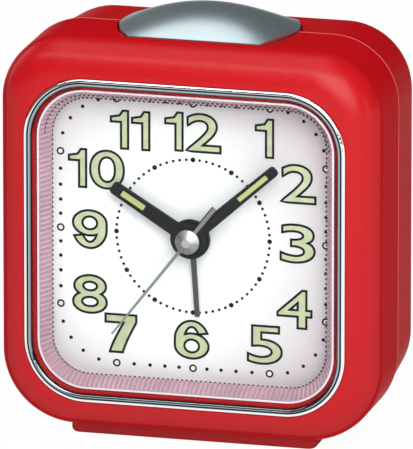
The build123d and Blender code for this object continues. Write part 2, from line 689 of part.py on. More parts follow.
def make_second_hand():
    """Second hand with a flat bar tail under a coned cap, pressed on its arbor."""
    depth = DIAL_DEPTH - SECOND_HAND_HEIGHT
    tip = SECOND_HAND_WIDTH / 4
    with BuildPart() as hand:
        with BuildSketch(face_plane(depth, turn=-SECOND_ANGLE)):
            Polygon(
                (-SECOND_HAND_WIDTH / 2, -SECOND_TAIL_START),
                (SECOND_HAND_WIDTH / 2, -SECOND_TAIL_START),
                (tip, SECOND_HAND_LENGTH),
                (-tip, SECOND_HAND_LENGTH),
            )
            with Locations((0, -(SECOND_TAIL_START + SECOND_TAIL_LENGTH) / 2)):
                Rectangle(SECOND_TAIL_WIDTH, SECOND_TAIL_LENGTH - SECOND_TAIL_START)
            Circle(CAP_RADIUS)
        extrude(amount=THIN_HAND_THICKNESS)
        with BuildSketch(face_plane(depth - THIN_HAND_THICKNESS)):
            Circle(CAP_RADIUS)
        with BuildSketch(face_plane(depth - CAP_HEIGHT)):
            Circle(CAP_TOP_RADIUS)
        loft()
        with BuildSketch(face_plane(depth)):
            Circle(SECOND_ARBOR)
        extrude(amount=THIN_HAND_THICKNESS, mode=Mode.SUBTRACT)
    return hand


def make_wheel(gears, rods, at=(0, 0), bore=None):
    """Wheel on an arbor or pipe.

    gears holds (depth, thickness, teeth, module, turn) and rods holds (front, back, radius).
    """
    with BuildPart() as wheel:
        for depth, thickness, teeth, module, turn in gears:
            with BuildSketch(face_plane(depth, at, turn)):
                Polygon(*gear_points(teeth, module))
            extrude(amount=-thickness)
        for front, back, radius in rods:
            with BuildSketch(face_plane(front, at)):
                Circle(radius)
            extrude(amount=-(back - front))
        if bore:
            with BuildSketch(face_plane(0, at)):
                Circle(bore)
            extrude(amount=-CASE_DEPTH, mode=Mode.SUBTRACT)
    return wheel


def housing_outline(inset=0):
    """Rounded rectangle of the movement, measured from the hand axis."""
    with Locations((0, (HOUSING_TOP - HOUSING_BOTTOM) / 2)):
        RectangleRounded(
            2 * (HOUSING_HALF_WIDTH - inset),
            HOUSING_TOP + HOUSING_BOTTOM - 2 * inset,
            HOUSING_ROUND - inset / 2,
        )


HOUSING_POSTS = [
    (side * (HOUSING_HALF_WIDTH - POST_INSET), height)
    for side in (-1, 1)
    for height in (POST_INSET - HOUSING_BOTTOM, HOUSING_TOP - POST_INSET)
]


def make_movement_housing():
    """Front half of the movement: a tray with stepped posts, bearing holes and two fixing ears."""
    with BuildPart() as tray:
        with BuildSketch(face_plane(MOVEMENT_FRONT)):
            housing_outline()
        extrude(amount=-(REAR_PLATE_FRONT - MOVEMENT_FRONT))
        with BuildSketch(face_plane(MOVEMENT_FRONT + PLATE)):
            housing_outline(HOUSING_WALL)
        extrude(amount=-(REAR_PLATE_FRONT - MOVEMENT_FRONT), mode=Mode.SUBTRACT)
        with BuildSketch(face_plane(MOVEMENT_FRONT)):
            with Locations((0, EAR_HEIGHT)):
                SlotOverall(2 * BOSS_X + EAR_WIDTH, EAR_WIDTH)
                Rectangle(2 * HOUSING_HALF_WIDTH - POST_INSET, EAR_WIDTH, mode=Mode.SUBTRACT)
        extrude(amount=-PLATE)
        with BuildSketch(face_plane(MOVEMENT_FRONT + PLATE)):
            with Locations(*HOUSING_POSTS):
                Circle(POST_RADIUS + POST_STEP)
        extrude(amount=-(MIDDLE_FRONT - MOVEMENT_FRONT - PLATE))
        with BuildSketch(face_plane(MIDDLE_FRONT)):
            with Locations(*HOUSING_POSTS):
                Circle(POST_RADIUS)
        extrude(amount=-(REAR_PLATE_FRONT - MIDDLE_FRONT))
        with BuildSketch(face_plane(REAR_PLATE_FRONT)):
            with Locations(*HOUSING_POSTS):
                Circle(SCREW_RADIUS)
        extrude(amount=SCREW_BITE, mode=Mode.SUBTRACT)
        with BuildSketch(face_plane(MOVEMENT_FRONT)):
            Circle(BUSH)
            with Locations(SET_AT, ALARM_SET_AT):
                Circle(SET_ARBOR + RUN)
            with Locations((-BOSS_X, EAR_HEIGHT), (BOSS_X, EAR_HEIGHT)):
                Circle(SCREW_RADIUS + RUN)
        extrude(amount=-PLATE, mode=Mode.SUBTRACT)
    return tray


def make_middle_plate():
    """Plate on the steps of the posts, between motion work and train, with the minute wheel's stud."""
    with BuildPart() as plate:
        with BuildSketch(face_plane(MIDDLE_FRONT)):
            housing_outline(HOUSING_WALL + SHELL_FIT)
            with Locations(*HOUSING_POSTS):
                Circle(POST_RADIUS + RUN, mode=Mode.SUBTRACT)
            Circle(CANNON_PIPE + RUN, mode=Mode.SUBTRACT)
            with Locations(THIRD_AT, INTERMEDIATE_AT, ROTOR_AT):
                Circle(TRAIN_ARBOR + RUN, mode=Mode.SUBTRACT)
            with Locations(SET_AT, ALARM_SET_AT):
                Circle(SET_ARBOR + RUN, mode=Mode.SUBTRACT)
        extrude(amount=-MIDDLE_PLATE)
        with BuildSketch(face_plane(MIDDLE_FRONT, MINUTE_AT)):
            Circle(MINUTE_STUD)
        extrude(amount=MIDDLE_FRONT - HOUR_FRONT + PINION_OVERHANG)
    return plate


def make_rear_plate():
    """Lid of the movement, with the rear bearings."""
    with BuildPart() as plate:
        with BuildSketch(face_plane(REAR_PLATE_FRONT)):
            housing_outline()
            with Locations(*HOUSING_POSTS):
                Circle(SCREW_RADIUS + RUN, mode=Mode.SUBTRACT)
            Circle(SECOND_ARBOR + RUN, mode=Mode.SUBTRACT)
            with Locations(THIRD_AT, INTERMEDIATE_AT, ROTOR_AT):
                Circle(TRAIN_ARBOR + RUN, mode=Mode.SUBTRACT)
            with Locations(SET_AT, ALARM_SET_AT):
                Circle(SET_ARBOR + RUN, mode=Mode.SUBTRACT)
        extrude(amount=-PLATE)
        with BuildSketch(face_plane(REAR_PLATE_FRONT, CORE_AT)):
            with GridLocations(STATOR_LENGTH - STATOR_LEG, 1, 2, 1):
                Circle(CORE_WIDTH / 2)
        extrude(amount=REAR_PLATE_FRONT - STATOR_FRONT - STATOR_THICKNESS)
    return plate


def make_stator():
    """Soft-iron stator: a bar pierced for the rotor, with two legs up to the coil core."""
    with BuildPart() as iron:
        with BuildSketch(face_plane(STATOR_FRONT, ROTOR_AT)):
            Rectangle(STATOR_LENGTH, STATOR_BAR)
            with Locations((0, CORE_RISE / 2)):
                with GridLocations(STATOR_LENGTH - STATOR_LEG, 1, 2, 1):
                    Rectangle(STATOR_LEG, CORE_RISE + CORE_WIDTH)
            Circle(MAGNET_RADIUS + STATOR_GAP, mode=Mode.SUBTRACT)
        extrude(amount=-STATOR_THICKNESS)
    return iron


def make_coil_core():
    """Iron bar through the coil, lying on the stator's legs."""
    with BuildPart() as bar:
        with BuildSketch(face_plane(STATOR_FRONT, CORE_AT)):
            Rectangle(STATOR_LENGTH, CORE_WIDTH)
        extrude(amount=STATOR_THICKNESS)
    return bar


def make_coil():
    """Copper winding between the flanges of its bobbin."""
    length = STATOR_LENGTH - 2 * STATOR_LEG - 2 * COIL_END_GAP
    across = side_plane(STATOR_FRONT - STATOR_THICKNESS / 2, (CORE_AT[0] - length / 2, CORE_AT[1]))
    with BuildPart() as winding:
        with BuildSketch(across):
            Circle(COIL_RADIUS)
        extrude(amount=length)
        with BuildSketch(across, across.offset(length - BOBBIN_FLANGE_THICKNESS)):
            Circle(BOBBIN_FLANGE)
        extrude(amount=BOBBIN_FLANGE_THICKNESS)
        with BuildSketch(across):
            Rectangle(STATOR_THICKNESS + 2 * RUN, CORE_WIDTH + 2 * RUN)
        extrude(amount=length, mode=Mode.SUBTRACT)
    return winding


def make_circuit_board():
    with BuildPart() as board:
        with BuildSketch(face_plane(MOVEMENT_BACK, (0, BOARD_RISE))):
            Rectangle(BOARD_WIDTH, BOARD_HEIGHT)
        extrude(amount=-BOARD_THICKNESS)
    return board


def make_quartz_crystal():
    """Metal can lying on the board."""
    depth = MOVEMENT_BACK + BOARD_THICKNESS + SEAT + CRYSTAL_RADIUS
    with BuildPart() as can:
        with BuildSketch(side_plane(depth, (0, CRYSTAL_RISE))):
            Circle(CRYSTAL_RADIUS)
        extrude(amount=CRYSTAL_LENGTH / 2, both=True)
    return can


def make_driver_chip():
    with BuildPart() as chip:
        with BuildSketch(face_plane(MOVEMENT_BACK + BOARD_THICKNESS, (0, CHIP_RISE))):
            Rectangle(CHIP_SIZE, CHIP_SIZE)
        extrude(amount=-CHIP_THICKNESS)
        chamfer(chip.faces().sort_by(Axis.Y)[-1].edges(), CHIP_THICKNESS / 4)
    return chip


def make_sounder():
    """Piezo disc on its seat behind the sound slots: a brass plate with a ceramic disc."""
    with BuildPart() as disc:
        with BuildSketch(face_plane(BACK_INNER - SOUNDER_SEAT, (0, SOUNDER_RISE))):
            Circle(SOUNDER_RADIUS)
        extrude(amount=SOUNDER_THICKNESS / 2)
        with BuildSketch(face_plane(BACK_INNER - SOUNDER_SEAT - SOUNDER_THICKNESS / 2, (0, SOUNDER_RISE))):
            Circle(SOUNDER_RADIUS - 2 * TUB_WALL)
        extrude(amount=SOUNDER_THICKNESS / 2)
    return disc


def make_battery():
    """AAA cell lying across the bay, its nub to the right."""
    axis = side_plane(BATTERY_DEPTH, (-BATTERY_LENGTH / 2, -BATTERY_DROP))
    with BuildPart() as cell:
        with BuildSketch(axis):
            Circle(BATTERY_RADIUS)
        extrude(amount=BATTERY_LENGTH - BATTERY_NUB)
        chamfer(cell.edges().filter_by(GeomType.CIRCLE), BATTERY_FIT)
        with BuildSketch(axis.offset(BATTERY_LENGTH - BATTERY_NUB)):
            Circle(BATTERY_NUB_RADIUS)
        extrude(amount=BATTERY_NUB)
    return cell


def make_contact(side):
    """Sprung battery contact: a plate on the bay's end wall with a tongue bent out to the cell."""
    wall = side * BAY_HALF_LENGTH
    cell = side * BATTERY_LENGTH / 2
    inner = wall - side * CONTACT_THICKNESS
    back = cell + side * CONTACT_THICKNESS
    profile = face_plane(BATTERY_DEPTH - CONTACT_WIDTH / 2, (0, -BATTERY_DROP))
    top = CONTACT_WIDTH / 2
    with BuildPart() as contact:
        with BuildSketch(profile):
            Polygon((wall, -top), (wall, top), (inner, top), (inner, -top))
            Polygon(
                (inner, top),
                (cell, CONTACT_THICKNESS),
                (cell, -CONTACT_THICKNESS),
                (back, -CONTACT_THICKNESS),
                (back, CONTACT_THICKNESS),
                (inner, top - 2 * CONTACT_THICKNESS),
            )
        extrude(amount=-CONTACT_WIDTH)
    return contact


def make_battery_door():
    """Door flush with the back, with two locating rails and a thumb scoop."""
    with BuildPart() as door:
        with BuildSketch(face_plane(CASE_DEPTH - DOOR_THICKNESS, (0, -BATTERY_DROP))):
            door_outline()
        extrude(amount=-DOOR_THICKNESS)
        with BuildSketch(face_plane(CASE_DEPTH - DOOR_THICKNESS, (0, -BATTERY_DROP))):
            with GridLocations(1, 2 * (BAY_HALF_HEIGHT - DOOR_FIT) - DOOR_RIM_WALL, 1, 2):
                Rectangle(2 * (HATCH_HALF_LENGTH - DOOR_FIT), DOOR_RIM_WALL)
        extrude(amount=DOOR_RIM)
        with BuildSketch(face_plane(CASE_DEPTH - DOOR_GRIP_DEPTH, (0, BAY_HALF_HEIGHT - BATTERY_DROP))):
            Circle(DOOR_GRIP_RADIUS)
        extrude(amount=-DOOR_GRIP_DEPTH, mode=Mode.SUBTRACT)
    return door


def make_alarm_switch():
    """Slide switch: ribbed cap outside, stem through the slot, flange inside."""
    with BuildPart() as slider:
        with BuildSketch(face_plane(CASE_DEPTH + SWITCH_GAP, SWITCH_AT)):
            Rectangle(SWITCH_CAP_WIDTH, SWITCH_CAP_HEIGHT)
        extrude(amount=-SWITCH_CAP_THICKNESS)
        with BuildSketch(face_plane(CASE_DEPTH + SWITCH_GAP + SWITCH_CAP_THICKNESS, SWITCH_AT)):
            with GridLocations(SWITCH_CAP_WIDTH / SWITCH_RIBS, 1, SWITCH_RIBS, 1):
                Rectangle(SWITCH_CAP_WIDTH / SWITCH_RIBS / 2, SWITCH_CAP_HEIGHT)
        extrude(amount=SWITCH_CAP_THICKNESS / 3, mode=Mode.SUBTRACT)
        with BuildSketch(face_plane(CASE_DEPTH + SWITCH_GAP, SWITCH_AT)):
            Rectangle(SWITCH_STEM_WIDTH, SWITCH_STEM_HEIGHT)
        extrude(amount=BACK_WALL + 2 * SWITCH_GAP)
        with BuildSketch(face_plane(BACK_INNER - SWITCH_GAP, SWITCH_AT)):
            Rectangle(SWITCH_CAP_WIDTH, SWITCH_CAP_HEIGHT)
        extrude(amount=SWITCH_FLANGE_THICKNESS)
    return slider


def make_knob(at):
    """Fluted setting knob with a boss that reaches through the back wall."""
    with BuildPart() as knob:
        with BuildSketch(face_plane(CASE_DEPTH + KNOB_CLEARANCE, at)):
            Circle(KNOB_RADIUS)
        extrude(amount=-KNOB_HEIGHT)
        chamfer(knob.faces().sort_by(Axis.Y)[-1].edges(), KNOB_EDGE)
        with BuildSketch(face_plane(CASE_DEPTH + KNOB_CLEARANCE, at)):
            with PolarLocations(KNOB_RADIUS, KNOB_FLUTES):
                Circle(KNOB_FLUTE_RADIUS)
        extrude(amount=-KNOB_HEIGHT, mode=Mode.SUBTRACT)
        with BuildSketch(face_plane(CASE_DEPTH + KNOB_CLEARANCE - KNOB_BOSS_DEPTH, at)):
            Circle(KNOB_BOSS)
        extrude(amount=-KNOB_BOSS_DEPTH)
        with BuildSketch(face_plane(CASE_DEPTH + KNOB_CLEARANCE - KNOB_BOSS_DEPTH, at)):
            Circle(SET_ARBOR)
        extrude(amount=-(KNOB_BOSS_DEPTH + KNOB_HEIGHT / 2), mode=Mode.SUBTRACT)
    return knob


def make_screws(places, seat_depth, length):
    """Cross-head screws driven from the back, one solid each."""
    with BuildPart() as screws:
        with BuildSketch(face_plane(seat_depth)):
            with Locations(*places):
                Circle(SCREW_HEAD_RADIUS)
        extrude(amount=-SCREW_HEAD_HEIGHT)
        with BuildSketch(face_plane(seat_depth)):
            with Locations(*places):
                Circle(SCREW_RADIUS)
        extrude(amount=length)
        with BuildSketch(face_plane(seat_depth + SCREW_HEAD_HEIGHT)):
            with Locations(*places):
                Rectangle(SCREW_HEAD_RADIUS, SCREW_SLOT)
                Rectangle(SCREW_SLOT, SCREW_HEAD_RADIUS)
        extrude(amount=SCREW_SLOT_DEPTH, mode=Mode.SUBTRACT)
    return screws


def dome_section(sink, crest):
    """Cross-section of the button, level below and arched above, lower at the back where the case slopes."""
    base = -2 * WALL
    front = BUTTON_RIM - sink
    back = BUTTON_BACK_RIM - sink
    with BuildLine() as edge:
        Line((-BUTTON_HALF_WIDTH, base), (BUTTON_HALF_WIDTH, base))
        Line((BUTTON_HALF_WIDTH, base), (BUTTON_HALF_WIDTH, back))
        ThreePointArc((BUTTON_HALF_WIDTH, back), (0, crest - sink), (-BUTTON_HALF_WIDTH, front))
        Line((-BUTTON_HALF_WIDTH, front), (-BUTTON_HALF_WIDTH, base))
    return edge.line


def make_dome(sink, shrink):
    """Smooth crowned block of the button, lowered and drawn in by the given amounts."""
    stations = (
        (-BUTTON_HALF_LENGTH, BUTTON_END_RISE),
        (0, BUTTON_CREST),
        (BUTTON_HALF_LENGTH, BUTTON_END_RISE),
    )
    with BuildPart() as dome:
        for across, crest in stations:
            with BuildSketch(side_plane(PARTING, (across, CASE_HEIGHT / 2))):
                make_face(dome_section(sink, crest))
        loft()
        with BuildSketch(top_plane(CASE_TOP - WALL)):
            make_face(button_outline(-shrink))
        extrude(amount=WALL + BUTTON_CREST, mode=Mode.INTERSECT)
    return dome


def make_snooze_button():
    """Domed key over the joint of the shells: hollow, flanged under the top wall, with a plunger."""
    outer = make_dome(0, 0)
    hollow = make_dome(BUTTON_SHELL, BUTTON_SHELL)
    with BuildPart() as key:
        add(outer.part)
        with BuildSketch(top_plane(FLANGE_BASE)):
            make_face(button_outline(BUTTON_FLANGE))
        extrude(amount=BUTTON_FLANGE_THICKNESS)
        with BuildSketch(top_plane(FLANGE_TOP)):
            make_face(button_outline())
        extrude(amount=CASE_TOP - WALL - FLANGE_TOP)
        add(hollow.part, mode=Mode.SUBTRACT)
        with BuildSketch(top_plane(FLANGE_BASE)):
            make_face(button_outline(-BUTTON_SHELL))
        extrude(amount=CASE_TOP - WALL - FLANGE_BASE, mode=Mode.SUBTRACT)
        with BuildSketch(top_plane(PLUNGER_END)):
            Circle(PLUNGER_RADIUS)
        extrude(amount=CASE_TOP + BUTTON_CREST - BUTTON_SHELL / 2 - PLUNGER_END)
    return key


def make_snooze_spring():
    """Bent leaf on top of the movement that lifts the key and closes its contact."""
    section = Plane(origin=(0, PARTING_Y, HOUSING_TOP_Z), x_dir=(1, 0, 0), z_dir=(0, -1, 0))
    rise = PLUNGER_END - HOUSING_TOP_Z
    with BuildPart() as leaf:
        with BuildSketch(section):
            Polygon(
                (-LEAF_LENGTH, 0),
                (-LEAF_LENGTH / 2, 0),
                (-PLUNGER_RADIUS, rise - LEAF_THICKNESS),
                (PLUNGER_RADIUS, rise - LEAF_THICKNESS),
                (PLUNGER_RADIUS, rise),
                (-PLUNGER_RADIUS, rise),
                (-LEAF_LENGTH / 2, LEAF_THICKNESS),
                (-LEAF_LENGTH, LEAF_THICKNESS),
            )
        extrude(amount=LEAF_WIDTH / 2, both=True)
    return leaf


# Turns that put each pair of gears in mesh, degrees anticlockwise seen from the front
TO_CENTRE = THIRD_DIRECTION + 180
FROM_MINUTE = MINUTE_DIRECTION + 180
THIRD_TURN = mesh_phase(THIRD_DIRECTION, THIRD_DIRECTION, SECOND_PINION_TEETH, THIRD_TEETH)
CENTRE_TURN = mesh_phase(TO_CENTRE, TO_CENTRE, THIRD_PINION_TEETH, CENTRE_TEETH)
INTERMEDIATE_TURN = mesh_phase(
    INTERMEDIATE_DIRECTION, INTERMEDIATE_DIRECTION, SECOND_TEETH, INTERMEDIATE_PINION_TEETH
)
ROTOR_TURN = mesh_phase(ROTOR_DIRECTION, ROTOR_DIRECTION, INTERMEDIATE_TEETH, ROTOR_TEETH)
MINUTE_TURN = mesh_phase(MINUTE_DIRECTION, MINUTE_DIRECTION, CANNON_TEETH, MINUTE_TEETH)
HOUR_TURN = mesh_phase(FROM_MINUTE, FROM_MINUTE, MINUTE_PINION_TEETH, HOUR_TEETH)
SET_TURN = mesh_phase(SET_DIRECTION, MINUTE_TURN, MINUTE_TEETH, SET_PINION_TEETH)
ALARM_SET_TURN = mesh_phase(ALARM_SET_DIRECTION, ALARM_SET_DIRECTION, ALARM_TEETH, ALARM_SET_TEETH)

# Arbors that run between the middle and rear plates
train_rod = (MIDDLE_FRONT + SHELL_FIT, MOVEMENT_BACK - SHELL_FIT, TRAIN_ARBOR)
set_rod = (MOVEMENT_FRONT + SHELL_FIT, ARBOR_END, SET_ARBOR)
minute_front = CANNON_FRONT + (PINION_THICKNESS - MOTION_THICKNESS) / 2
ear_screw_places = ((-BOSS_X, EAR_HEIGHT), (BOSS_X, EAR_HEIGHT))
case_screw_seat = CASE_DEPTH - SCREW_SEAT_DEPTH
case_screw_length = case_screw_seat - PARTING + POST_END + SCREW_BITE - SLIDE

# Case and window
finish(make_front_case(), "front_case")
finish(make_rear_case(), "rear_case")
finish(make_foot(), "foot")
finish(make_bezel_ring(), "bezel_ring")
finish(make_lens(), "lens")
finish(make_dial_surround(), "dial_surround")
finish(make_dial(), "dial")

# Hands
finish(
    make_bar_hand(
        HOUR_HAND_HEIGHT, HOUR_ANGLE, HOUR_HAND_LENGTH, HOUR_HAND_WIDTH, HOUR_HUB, HOUR_PIPE,
        HOUR_LUME_LENGTH, HOUR_LUME_WIDTH,
    ),
    "hour_hand",
)
finish(
    make_lume(HOUR_HAND_HEIGHT, HOUR_ANGLE, HOUR_HAND_LENGTH, HOUR_LUME_LENGTH, HOUR_LUME_WIDTH),
    "hour_hand_lume",
)
finish(
    make_bar_hand(
        MINUTE_HAND_HEIGHT, MINUTE_ANGLE, MINUTE_HAND_LENGTH, MINUTE_HAND_WIDTH, MINUTE_HUB, CANNON_PIPE,
        MINUTE_LUME_LENGTH, MINUTE_LUME_WIDTH,
    ),
    "minute_hand",
)
finish(
    make_lume(MINUTE_HAND_HEIGHT, MINUTE_ANGLE, MINUTE_HAND_LENGTH, MINUTE_LUME_LENGTH, MINUTE_LUME_WIDTH),
    "minute_hand_lume",
)
finish(make_second_hand(), "second_hand")
finish(make_alarm_hand(), "alarm_hand")

# Seconds train, from the motor to the centre wheel
finish(
    make_wheel(
        [
            (
                INTERMEDIATE_FRONT - PINION_OVERHANG,
                MAGNET_FRONT - INTERMEDIATE_FRONT + PINION_OVERHANG,
                ROTOR_TEETH,
                ROTOR_MODULE,
                ROTOR_TURN,
            )
        ],
        [(MAGNET_FRONT, MAGNET_FRONT + MAGNET_LENGTH, MAGNET_RADIUS), train_rod],
        ROTOR_AT,
    ),
    "rotor",
)
finish(
    make_wheel(
        [
            (INTERMEDIATE_FRONT, TRAIN_THICKNESS, INTERMEDIATE_TEETH, ROTOR_MODULE, ROTOR_DIRECTION),
            (
                SECOND_FRONT - PINION_OVERHANG,
                INTERMEDIATE_FRONT - SECOND_FRONT + PINION_OVERHANG,
                INTERMEDIATE_PINION_TEETH,
                SECOND_MODULE,
                INTERMEDIATE_TURN,
            ),
        ],
        [train_rod],
        INTERMEDIATE_AT,
    ),
    "intermediate_wheel",
)
finish(
    make_wheel(
        [
            (SECOND_FRONT, TRAIN_THICKNESS, SECOND_TEETH, SECOND_MODULE, INTERMEDIATE_DIRECTION),
            (
                THIRD_FRONT - PINION_OVERHANG,
                SECOND_FRONT - THIRD_FRONT + PINION_OVERHANG,
                SECOND_PINION_TEETH,
                THIRD_MODULE,
                THIRD_DIRECTION,
            ),
        ],
        [(DIAL_DEPTH - SECOND_HAND_HEIGHT - THIN_HAND_THICKNESS, MOVEMENT_BACK - SHELL_FIT, SECOND_ARBOR)],
    ),
    "second_wheel",
)
finish(
    make_wheel(
        [
            (THIRD_FRONT, TRAIN_THICKNESS, THIRD_TEETH, THIRD_MODULE, THIRD_TURN),
            (
                CENTRE_FRONT - PINION_OVERHANG,
                THIRD_FRONT - CENTRE_FRONT + PINION_OVERHANG,
                THIRD_PINION_TEETH,
                CENTRE_MODULE,
                TO_CENTRE,
            ),
        ],
        [train_rod],
        THIRD_AT,
    ),
    "third_wheel",
)
finish(
    make_wheel(
        [(CENTRE_FRONT, TRAIN_THICKNESS, CENTRE_TEETH, CENTRE_MODULE, CENTRE_TURN)],
        [],
        bore=CANNON_PIPE + RUN,
    ),
    "centre_wheel",
)

# Motion work
finish(
    make_wheel(
        [(CANNON_FRONT, PINION_THICKNESS, CANNON_TEETH, MOTION_MODULE, MINUTE_DIRECTION)],
        [
            (
                DIAL_DEPTH - MINUTE_HAND_HEIGHT - HAND_THICKNESS,
                CENTRE_FRONT + TRAIN_THICKNESS + SHELL_FIT,
                CANNON_PIPE,
            )
        ],
        bore=CANNON_BORE,
    ),
    "cannon_pinion",
)
finish(
    make_wheel(
        [
            (minute_front, MOTION_THICKNESS, MINUTE_TEETH, MOTION_MODULE, MINUTE_TURN),
            (
                HOUR_FRONT - SHELL_FIT,
                minute_front - HOUR_FRONT + SHELL_FIT,
                MINUTE_PINION_TEETH,
                HOUR_MODULE,
                FROM_MINUTE,
            ),
        ],
        [],
        MINUTE_AT,
        bore=MINUTE_STUD + RUN,
    ),
    "minute_wheel",
)
finish(
    make_wheel(
        [(HOUR_FRONT, MOTION_THICKNESS, HOUR_TEETH, HOUR_MODULE, HOUR_TURN)],
        [(DIAL_DEPTH - HOUR_HAND_HEIGHT - HAND_THICKNESS, HOUR_FRONT + MOTION_THICKNESS, HOUR_PIPE)],
        bore=HOUR_BORE,
    ),
    "hour_wheel",
)
finish(
    make_wheel(
        [(ALARM_FRONT, MOTION_THICKNESS, ALARM_TEETH, MOTION_MODULE, ALARM_SET_DIRECTION)],
        [(DIAL_DEPTH - ALARM_HAND_HEIGHT - THIN_HAND_THICKNESS, ALARM_FRONT + MOTION_THICKNESS, ALARM_PIPE)],
        bore=ALARM_BORE,
    ),
    "alarm_wheel",
)

# Setting arbors and knobs
finish(
    make_wheel(
        [(CANNON_FRONT, PINION_THICKNESS, SET_PINION_TEETH, MOTION_MODULE, SET_TURN)], [set_rod], SET_AT
    ),
    "time_set_arbor",
)
finish(
    make_wheel(
        [(ALARM_FRONT, MOTION_THICKNESS, ALARM_SET_TEETH, MOTION_MODULE, ALARM_SET_TURN)],
        [set_rod],
        ALARM_SET_AT,
    ),
    "alarm_set_arbor",
)
finish(make_knob(SET_AT), "time_set_knob")
finish(make_knob(ALARM_SET_AT), "alarm_set_knob")

# Movement frame, motor and circuit
finish(make_movement_housing(), "movement_housing")
finish(make_middle_plate(), "middle_plate")
finish(make_rear_plate(), "rear_plate")
finish(make_stator(), "stator")
finish(make_coil_core(), "coil_core")
finish(make_coil(), "coil")
finish(make_circuit_board(), "circuit_board")
finish(make_quartz_crystal(), "quartz_crystal")
finish(make_driver_chip(), "driver_chip")
finish(make_sounder(), "sounder")

# Power, switch and button
finish(make_battery(), "battery")
finish(make_contact(1), "contact_plus")
finish(make_contact(-1), "contact_minus")
finish(make_battery_door(), "battery_door")
finish(make_alarm_switch(), "alarm_switch")
finish(make_snooze_button(), "snooze_button")
finish(make_snooze_spring(), "snooze_spring")

# Screws
finish(
    make_screws(CASE_SCREWS, case_screw_seat, case_screw_length),
    "case_screws",
)
finish(
    make_screws(ear_screw_places, MOVEMENT_FRONT + PLATE, PLATE + MOVEMENT_FRONT - FRONT_WALL - SLIDE),
    "movement_screws",
)
finish(make_screws(HOUSING_POSTS, MOVEMENT_BACK, PLATE + SCREW_BITE - SLIDE), "plate_screws")
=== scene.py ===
import math

import bpy
from mathutils import Matrix, Vector
from mathutils.geometry import interpolate_bezier


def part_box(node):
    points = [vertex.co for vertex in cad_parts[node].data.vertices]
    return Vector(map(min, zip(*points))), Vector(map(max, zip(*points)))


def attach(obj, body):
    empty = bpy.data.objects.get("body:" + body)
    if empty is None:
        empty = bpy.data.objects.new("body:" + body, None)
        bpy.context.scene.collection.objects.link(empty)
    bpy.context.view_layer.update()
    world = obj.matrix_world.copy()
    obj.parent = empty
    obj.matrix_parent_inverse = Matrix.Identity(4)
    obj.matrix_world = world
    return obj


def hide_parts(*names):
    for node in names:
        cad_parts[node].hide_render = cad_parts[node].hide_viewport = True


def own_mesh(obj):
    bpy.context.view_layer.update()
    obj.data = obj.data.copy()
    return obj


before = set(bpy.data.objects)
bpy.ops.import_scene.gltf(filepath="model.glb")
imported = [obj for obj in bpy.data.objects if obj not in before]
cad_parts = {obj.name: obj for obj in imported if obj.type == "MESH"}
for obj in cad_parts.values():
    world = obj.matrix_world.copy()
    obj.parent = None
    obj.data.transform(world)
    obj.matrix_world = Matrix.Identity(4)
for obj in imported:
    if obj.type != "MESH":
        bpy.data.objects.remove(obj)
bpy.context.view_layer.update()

MM = 0.001

# Places taken from the CAD parts
case_low, case_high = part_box("front_case")
dial_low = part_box("dial")[0]
surround_low, surround_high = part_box("dial_surround")
ring_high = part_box("bezel_ring")[1]
CASE_FRONT = case_low.y
JOINT = case_high.y
DIAL_FRONT = dial_low.y
SURROUND_FRONT = surround_low.y
RING_OUTER = ring_high.x
AXIS_Z = (case_low.z + case_high.z) / 2
WINDOW_Z = (surround_low.z + surround_high.z) / 2
WINDOW_STRETCH = (surround_high.z - surround_low.z - surround_high.x + surround_low.x) / 2

# Camera
CAMERA_TURN = math.radians(14.82)
CAMERA_RISE = math.radians(15.435)
CAMERA_DISTANCE = 2.0
SENSOR = 36.0
VIEW_HEIGHT = 70.876 * MM
AIM_DEPTH = 15.0 * MM
AIM_RIGHT = -0.2826 * MM
AIM_UP = -0.5588 * MM

# Stage
FLOOR_HALF = 4.0
FLOOR_COLOUR = (0.9, 0.9, 0.9, 1)
FLOOR_ROUGHNESS = 0.9
FLOOR_WHITE = 0.97  # share of plain white in the floor as it is seen
SKY_COLOUR = (0.95, 0.97, 1.0, 1)
SKY_STRENGTH = 0.14

# Surfaces
NOISE_DETAIL = 3.0
NOISE_LOW = 0.3  # most of a noise lies between these two
NOISE_HIGH = 0.7
ROUGHNESS_SPREAD = 0.15
GRAIN_DEPTH = 0.125  # depth of a grain in grain sizes
# width of the painted highlight line along the joint of the case
JOINT_HIGHLIGHT_WIDTH = 0.25 * MM
# half width of the painted highlight on the lip of the frame round the dial
LIP_HIGHLIGHT_HALF = 0.05 * MM
RING_WIDTH = 1.35 * MM
# painted reflections across the ring, from its inner edge to its outer: position and colour
RING_REFLECTION_BANDS = (
    (0.0, (0, 0, 0)),
    (0.36, (0.48, 0.55, 0.58)),
    (0.42, (0.02, 0.03, 0.035)),
    (0.58, (0.02, 0.03, 0.035)),
    (0.64, (0.85, 0.87, 0.88)),
    (1.0, (1, 1, 1)),
)
FAR = 1.0  # more than any depth of the clock
# painted shade on the dial: it starts at the first radius from a point left of and below the hand axis, and
# is full at the second
PAINTED_LIGHT_ACROSS = -6 * MM
PAINTED_LIGHT_UP = -3 * MM
PAINTED_SHADE_START = 16 * MM
PAINTED_SHADE_FULL = 33 * MM
CAP_RADIUS = 1.95 * MM
# scale of the painted highlight rays round the cap
CAP_HIGHLIGHT_RAYS = 2.2
SECOND_TURN = math.radians(217.8)  # of the second hand at rest
# the painted shade on the tail starts this far from its middle
TAIL_SHADE_EDGE = 0.3 * MM
LENS_INDEX = 1.18

# Dots and rings printed on the dial
HOURS = 12
MINUTES = 60
TRACK_HALF = 21.56 * MM
TRACK_CORNER = 8.7 * MM
HOUR_RING = 0.64 * MM
HOUR_RING_HOLE = 0.36 * MM
MINUTE_DOT = 0.3 * MM
ALARM_CIRCLE = 12.45 * MM
ALARM_DOTS = 72
ALARM_DOT = 0.24 * MM
ALARM_HOUR_DOT = 0.4 * MM
RING_SIDES = 24
DOT_SIDES = 12
PRINT_LAYER = 0.02 * MM
DOT_LAYER = 1
FILL_LAYER = 2
EDGE_LAYER = 3

